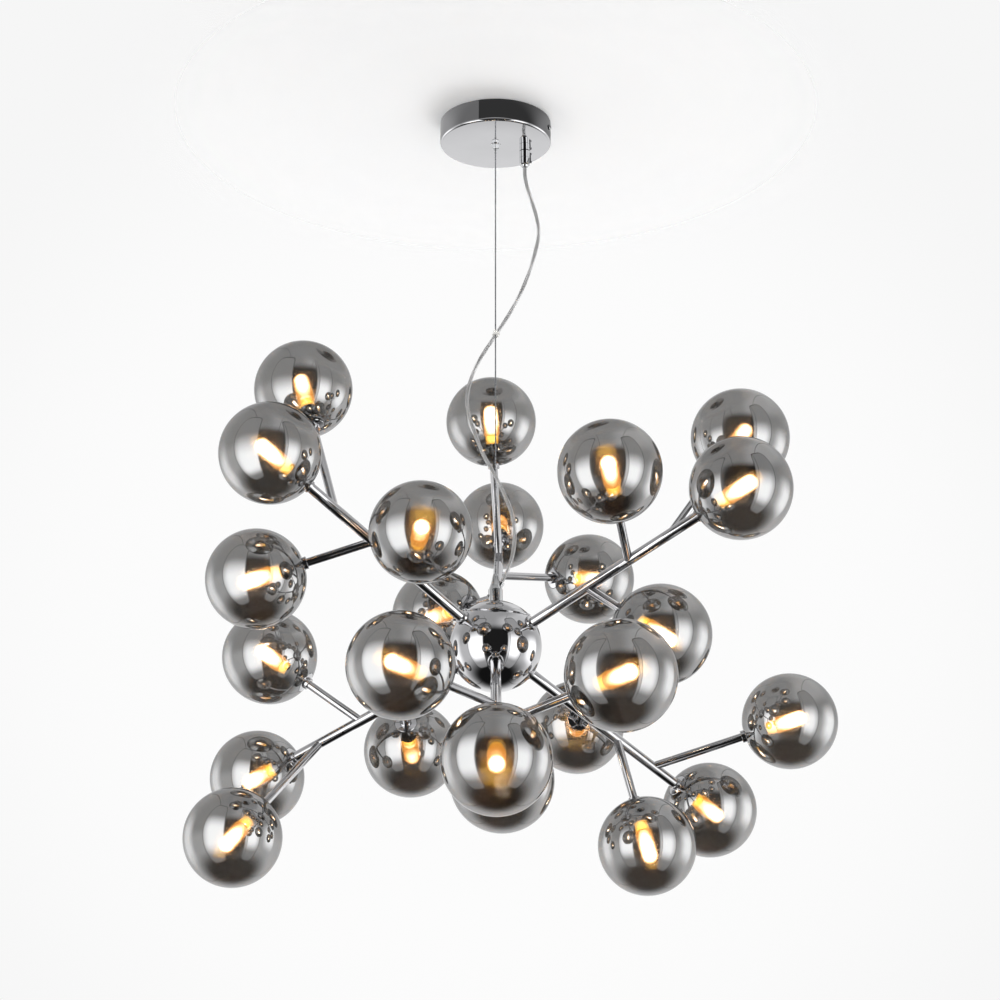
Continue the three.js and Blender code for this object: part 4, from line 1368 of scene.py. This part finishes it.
deselect_all()
bpy.ops.mesh.primitive_circle_add(
    vertices=64, radius=CEILING_FADE[1], fill_type="NGON", location=(0, 0, CEILING_GAP))
ceiling = name_piece("ceiling_board")
bpy.ops.object.mode_set(mode="EDIT")
bpy.ops.mesh.select_all(action="SELECT")
bpy.ops.mesh.flip_normals()
bpy.ops.object.mode_set(mode="OBJECT")
ceiling.data.materials.append(ceiling_paint())
ceiling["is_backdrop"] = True
print("ceiling board", CEILING_FADE[1], "m in radius")

# %% [markdown]
# The floor is pale and far below. It keeps views from above from ending in a hard line, so it
# fades out as the ceiling board does, and it shows its upper side only.

# %% Floor
FLOOR_DROP = 2.4
FLOOR_SIZE = 9
FLOOR_FADE = (0.8, 4.4)
# Smooth painted concrete: pale grey and nearly matt.
floor_paint, floor_tree, floor_shader = new_material(
    "pale_floor_paint", Base_Color=linear("#DCDCDC"), Roughness=0.8)
floor_place = add_node(floor_tree, "TexCoord")
floor_far = add_node(floor_tree, "VectorMath", {0: floor_place.outputs["Object"]}, operation="LENGTH")
floor_fade = add_node(floor_tree, "MapRange", {
    "Value": floor_far, "From Min": FLOOR_FADE[0], "From Max": FLOOR_FADE[1]},
    interpolation_type="SMOOTHSTEP")
one_sided(floor_tree, floor_shader, floor_fade)
deselect_all()
bpy.ops.mesh.primitive_plane_add(size=FLOOR_SIZE, location=(0, 0, -FLOOR_DROP))
floor = name_piece("floor")
floor.data.materials.append(floor_paint)
floor.visible_glossy = False
floor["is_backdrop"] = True
print("floor", FLOOR_DROP, "m below the ceiling")

# %% [markdown]
# The world closes the studio. Mirrors see a pale room behind the lamp, grey at the sides and
# above, and dark in front and below, with a thin dark seam at each side where the drapes meet. A
# room modelled with walls would give the same picture at more cost, so the room is drawn on the
# world: every soft edge is one step from one level to another, along X (to the right), Y (to
# the rear) or Z (up). The table below lists these steps.

# %% World: the steps of the room
ROOM_REAR = 0.8
ROOM_SIDE = 0.56
ROOM_RIGHT = 0.36
ROOM_LOW = 0.35
ROOM_DARK = 0.01
FLOOR_DARK = 0.012
DRAPE_SEAM = 0.35
DRAPE_SEAM_WIDTH = 0.008
DRAPE_SEAM_DARKENING = 0.6
ROOM_STEPS = {
    # what the step is: axis, where it starts and ends, level at its start and at its end
    "rear wall": ("Y", 0.0, 0.7, ROOM_SIDE, ROOM_REAR),
    "front gap": ("Y", -0.8, -0.45, 1, 0),
    "front gap's top": ("Z", 0.48, 0.76, 1, 0),
    "ceiling": ("Z", 0.75, 0.95, 0, 1),
    "right wall": ("X", -0.1, 0.35, 0, ROOM_RIGHT),
    "right wall's foot": ("Z", 0.45, 0.75, 0, 1),
    "low glow": ("Z", 0.3, -0.05, 0, ROOM_LOW),
    "floor": ("Z", -0.88, -0.4, 0, 1),
}
print("room drawn with", len(ROOM_STEPS), "soft steps")

# %% [markdown]
# Each row of the table becomes a node. The results are then laid over each other, from the rear
# wall to the floor, and the thin dark seams of the drapes are drawn last but one. Paint on a
# big ball round the lamp would look the same, but the world needs no mesh and is never too near.

# %% World: the room that mirrors see
world = bpy.data.worlds.new("studio")
bpy.context.scene.world = world
world.use_nodes = True
sky = world.node_tree
sky.nodes.clear()
direction = add_node(sky, "TexCoord")
heading = add_node(sky, "SeparateXYZ", {"Vector": direction.outputs["Generated"]})
step = {}
for label, (axis, start, end, first_level, last_level) in ROOM_STEPS.items():
    step[label] = add_node(sky, "MapRange", {
        "Value": heading.outputs[axis], "From Min": start, "From Max": end,
        "To Min": first_level, "To Max": last_level}, interpolation_type="SMOOTHSTEP", label=label)
gap = add_node(sky, "Math", {0: step["front gap"], 1: step["front gap's top"]}, operation="MULTIPLY")
walls = add_node(sky, "Mix", {"Factor": gap, "A": step["rear wall"], "B": ROOM_DARK})
room = add_node(sky, "Mix", {"Factor": step["ceiling"], "A": walls, "B": ROOM_SIDE})
right = add_node(sky, "Math", {
    0: step["right wall"], 1: step["right wall's foot"]}, operation="MULTIPLY")
room = add_node(sky, "Math", {0: room, 1: right}, operation="ADD")
low_glow = add_node(sky, "Mix", {"Factor": gap, "A": step["low glow"], "B": 0})
room = add_node(sky, "Math", {0: room, 1: low_glow}, operation="ADD")
aside = add_node(sky, "Math", {0: heading.outputs["X"]}, operation="ABSOLUTE")
seam = add_node(sky, "Math", {0: aside, 1: DRAPE_SEAM, 2: DRAPE_SEAM_WIDTH}, operation="COMPARE")
cloth = add_node(sky, "Math", {0: seam, 1: -DRAPE_SEAM_DARKENING, 2: 1}, operation="MULTIPLY_ADD")
room = add_node(sky, "Math", {0: room, 1: cloth}, operation="MULTIPLY")
room = add_node(sky, "Math", {0: room, 1: step["floor"], 2: FLOOR_DARK}, operation="MULTIPLY_ADD")
print("room nodes", len(sky.nodes))

# %% [markdown]
# Matt things are lit mostly from the rear and below, which throws the canopy's soft shadow onto
# the ceiling. The camera sees an even pale background with a whiter middle, straight or through
# glass. The light path says which of the three a ray is after. Cycles would also send rays
# straight to the world, but such a ray can't tell that it lights a matt surface, and the ceiling
# would change its level with the view. So the world is met only by rays that reach it themselves.

# %% World: what lights matt things, and the background
MATT_EVEN = 0.95
MATT_KEY = 4.5
KEY_DIRECTION = (0.25, 0.83, -0.5)
KEY_EDGE = (0.86, 0.99)
PALE_MIDDLE = (-0.004, 0.9726, 0.2326)
PALE_EDGE = (0.955, 0.992)
PALE_RIM = "#F6F6F6"
PALE_CORE = "#FCFCFC"
GLASS_LAYERS = 48


def patch(middle, edge):
    dot = add_node(sky, "VectorMath", {
        0: direction.outputs["Generated"], 1: Vector(middle).normalized()}, operation="DOT_PRODUCT")
    return add_node(sky, "MapRange", {"Value": dot, "From Min": edge[0], "From Max": edge[1]},
                    interpolation_type="SMOOTHSTEP")


matt = add_node(sky, "Math", {0: patch(KEY_DIRECTION, KEY_EDGE), 1: MATT_KEY, 2: MATT_EVEN},
                operation="MULTIPLY_ADD")
ray = add_node(sky, "LightPath")
is_matt = add_node(sky, "Math", {0: ray.outputs["Diffuse Depth"], 1: 1}, operation="MINIMUM")
studio_light = add_node(sky, "Mix", {"Factor": is_matt, "A": room, "B": matt})
pale = add_node(sky, "Mix", {
    "Factor": patch(PALE_MIDDLE, PALE_EDGE), "A": linear(PALE_RIM), "B": linear(PALE_CORE)},
    data_type="RGBA")
is_seen = add_node(sky, "Math", {
    0: ray.outputs["Is Camera Ray"], 1: ray.outputs["Is Transmission Ray"]}, operation="MAXIMUM")
seen = add_node(sky, "Mix", {"Factor": is_seen, "A": studio_light, "B": pale}, data_type="RGBA")
light = add_node(sky, "Background", {"Color": seen})
add_node(sky, "OutputWorld", {"Surface": light})
world.cycles.sampling_method = "NONE"
bpy.context.scene.cycles.transparent_max_bounces = GLASS_LAYERS
bpy.context.scene.view_settings.view_transform = "Standard"
print("background from", PALE_RIM, "to", PALE_CORE)

# %% [markdown]
# ## Sizes
# The box of the dressed lamp is printed. The dressed lamp has to be as big as the measured
# one. It differs from the measured box by up to a millimetre, because the measured globes
# have flat facets.

# %% Box of the dressed lamp
deselect_all()
low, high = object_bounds()
print("visual box", [round(x, 4) for x in low], [round(x, 4) for x in high])
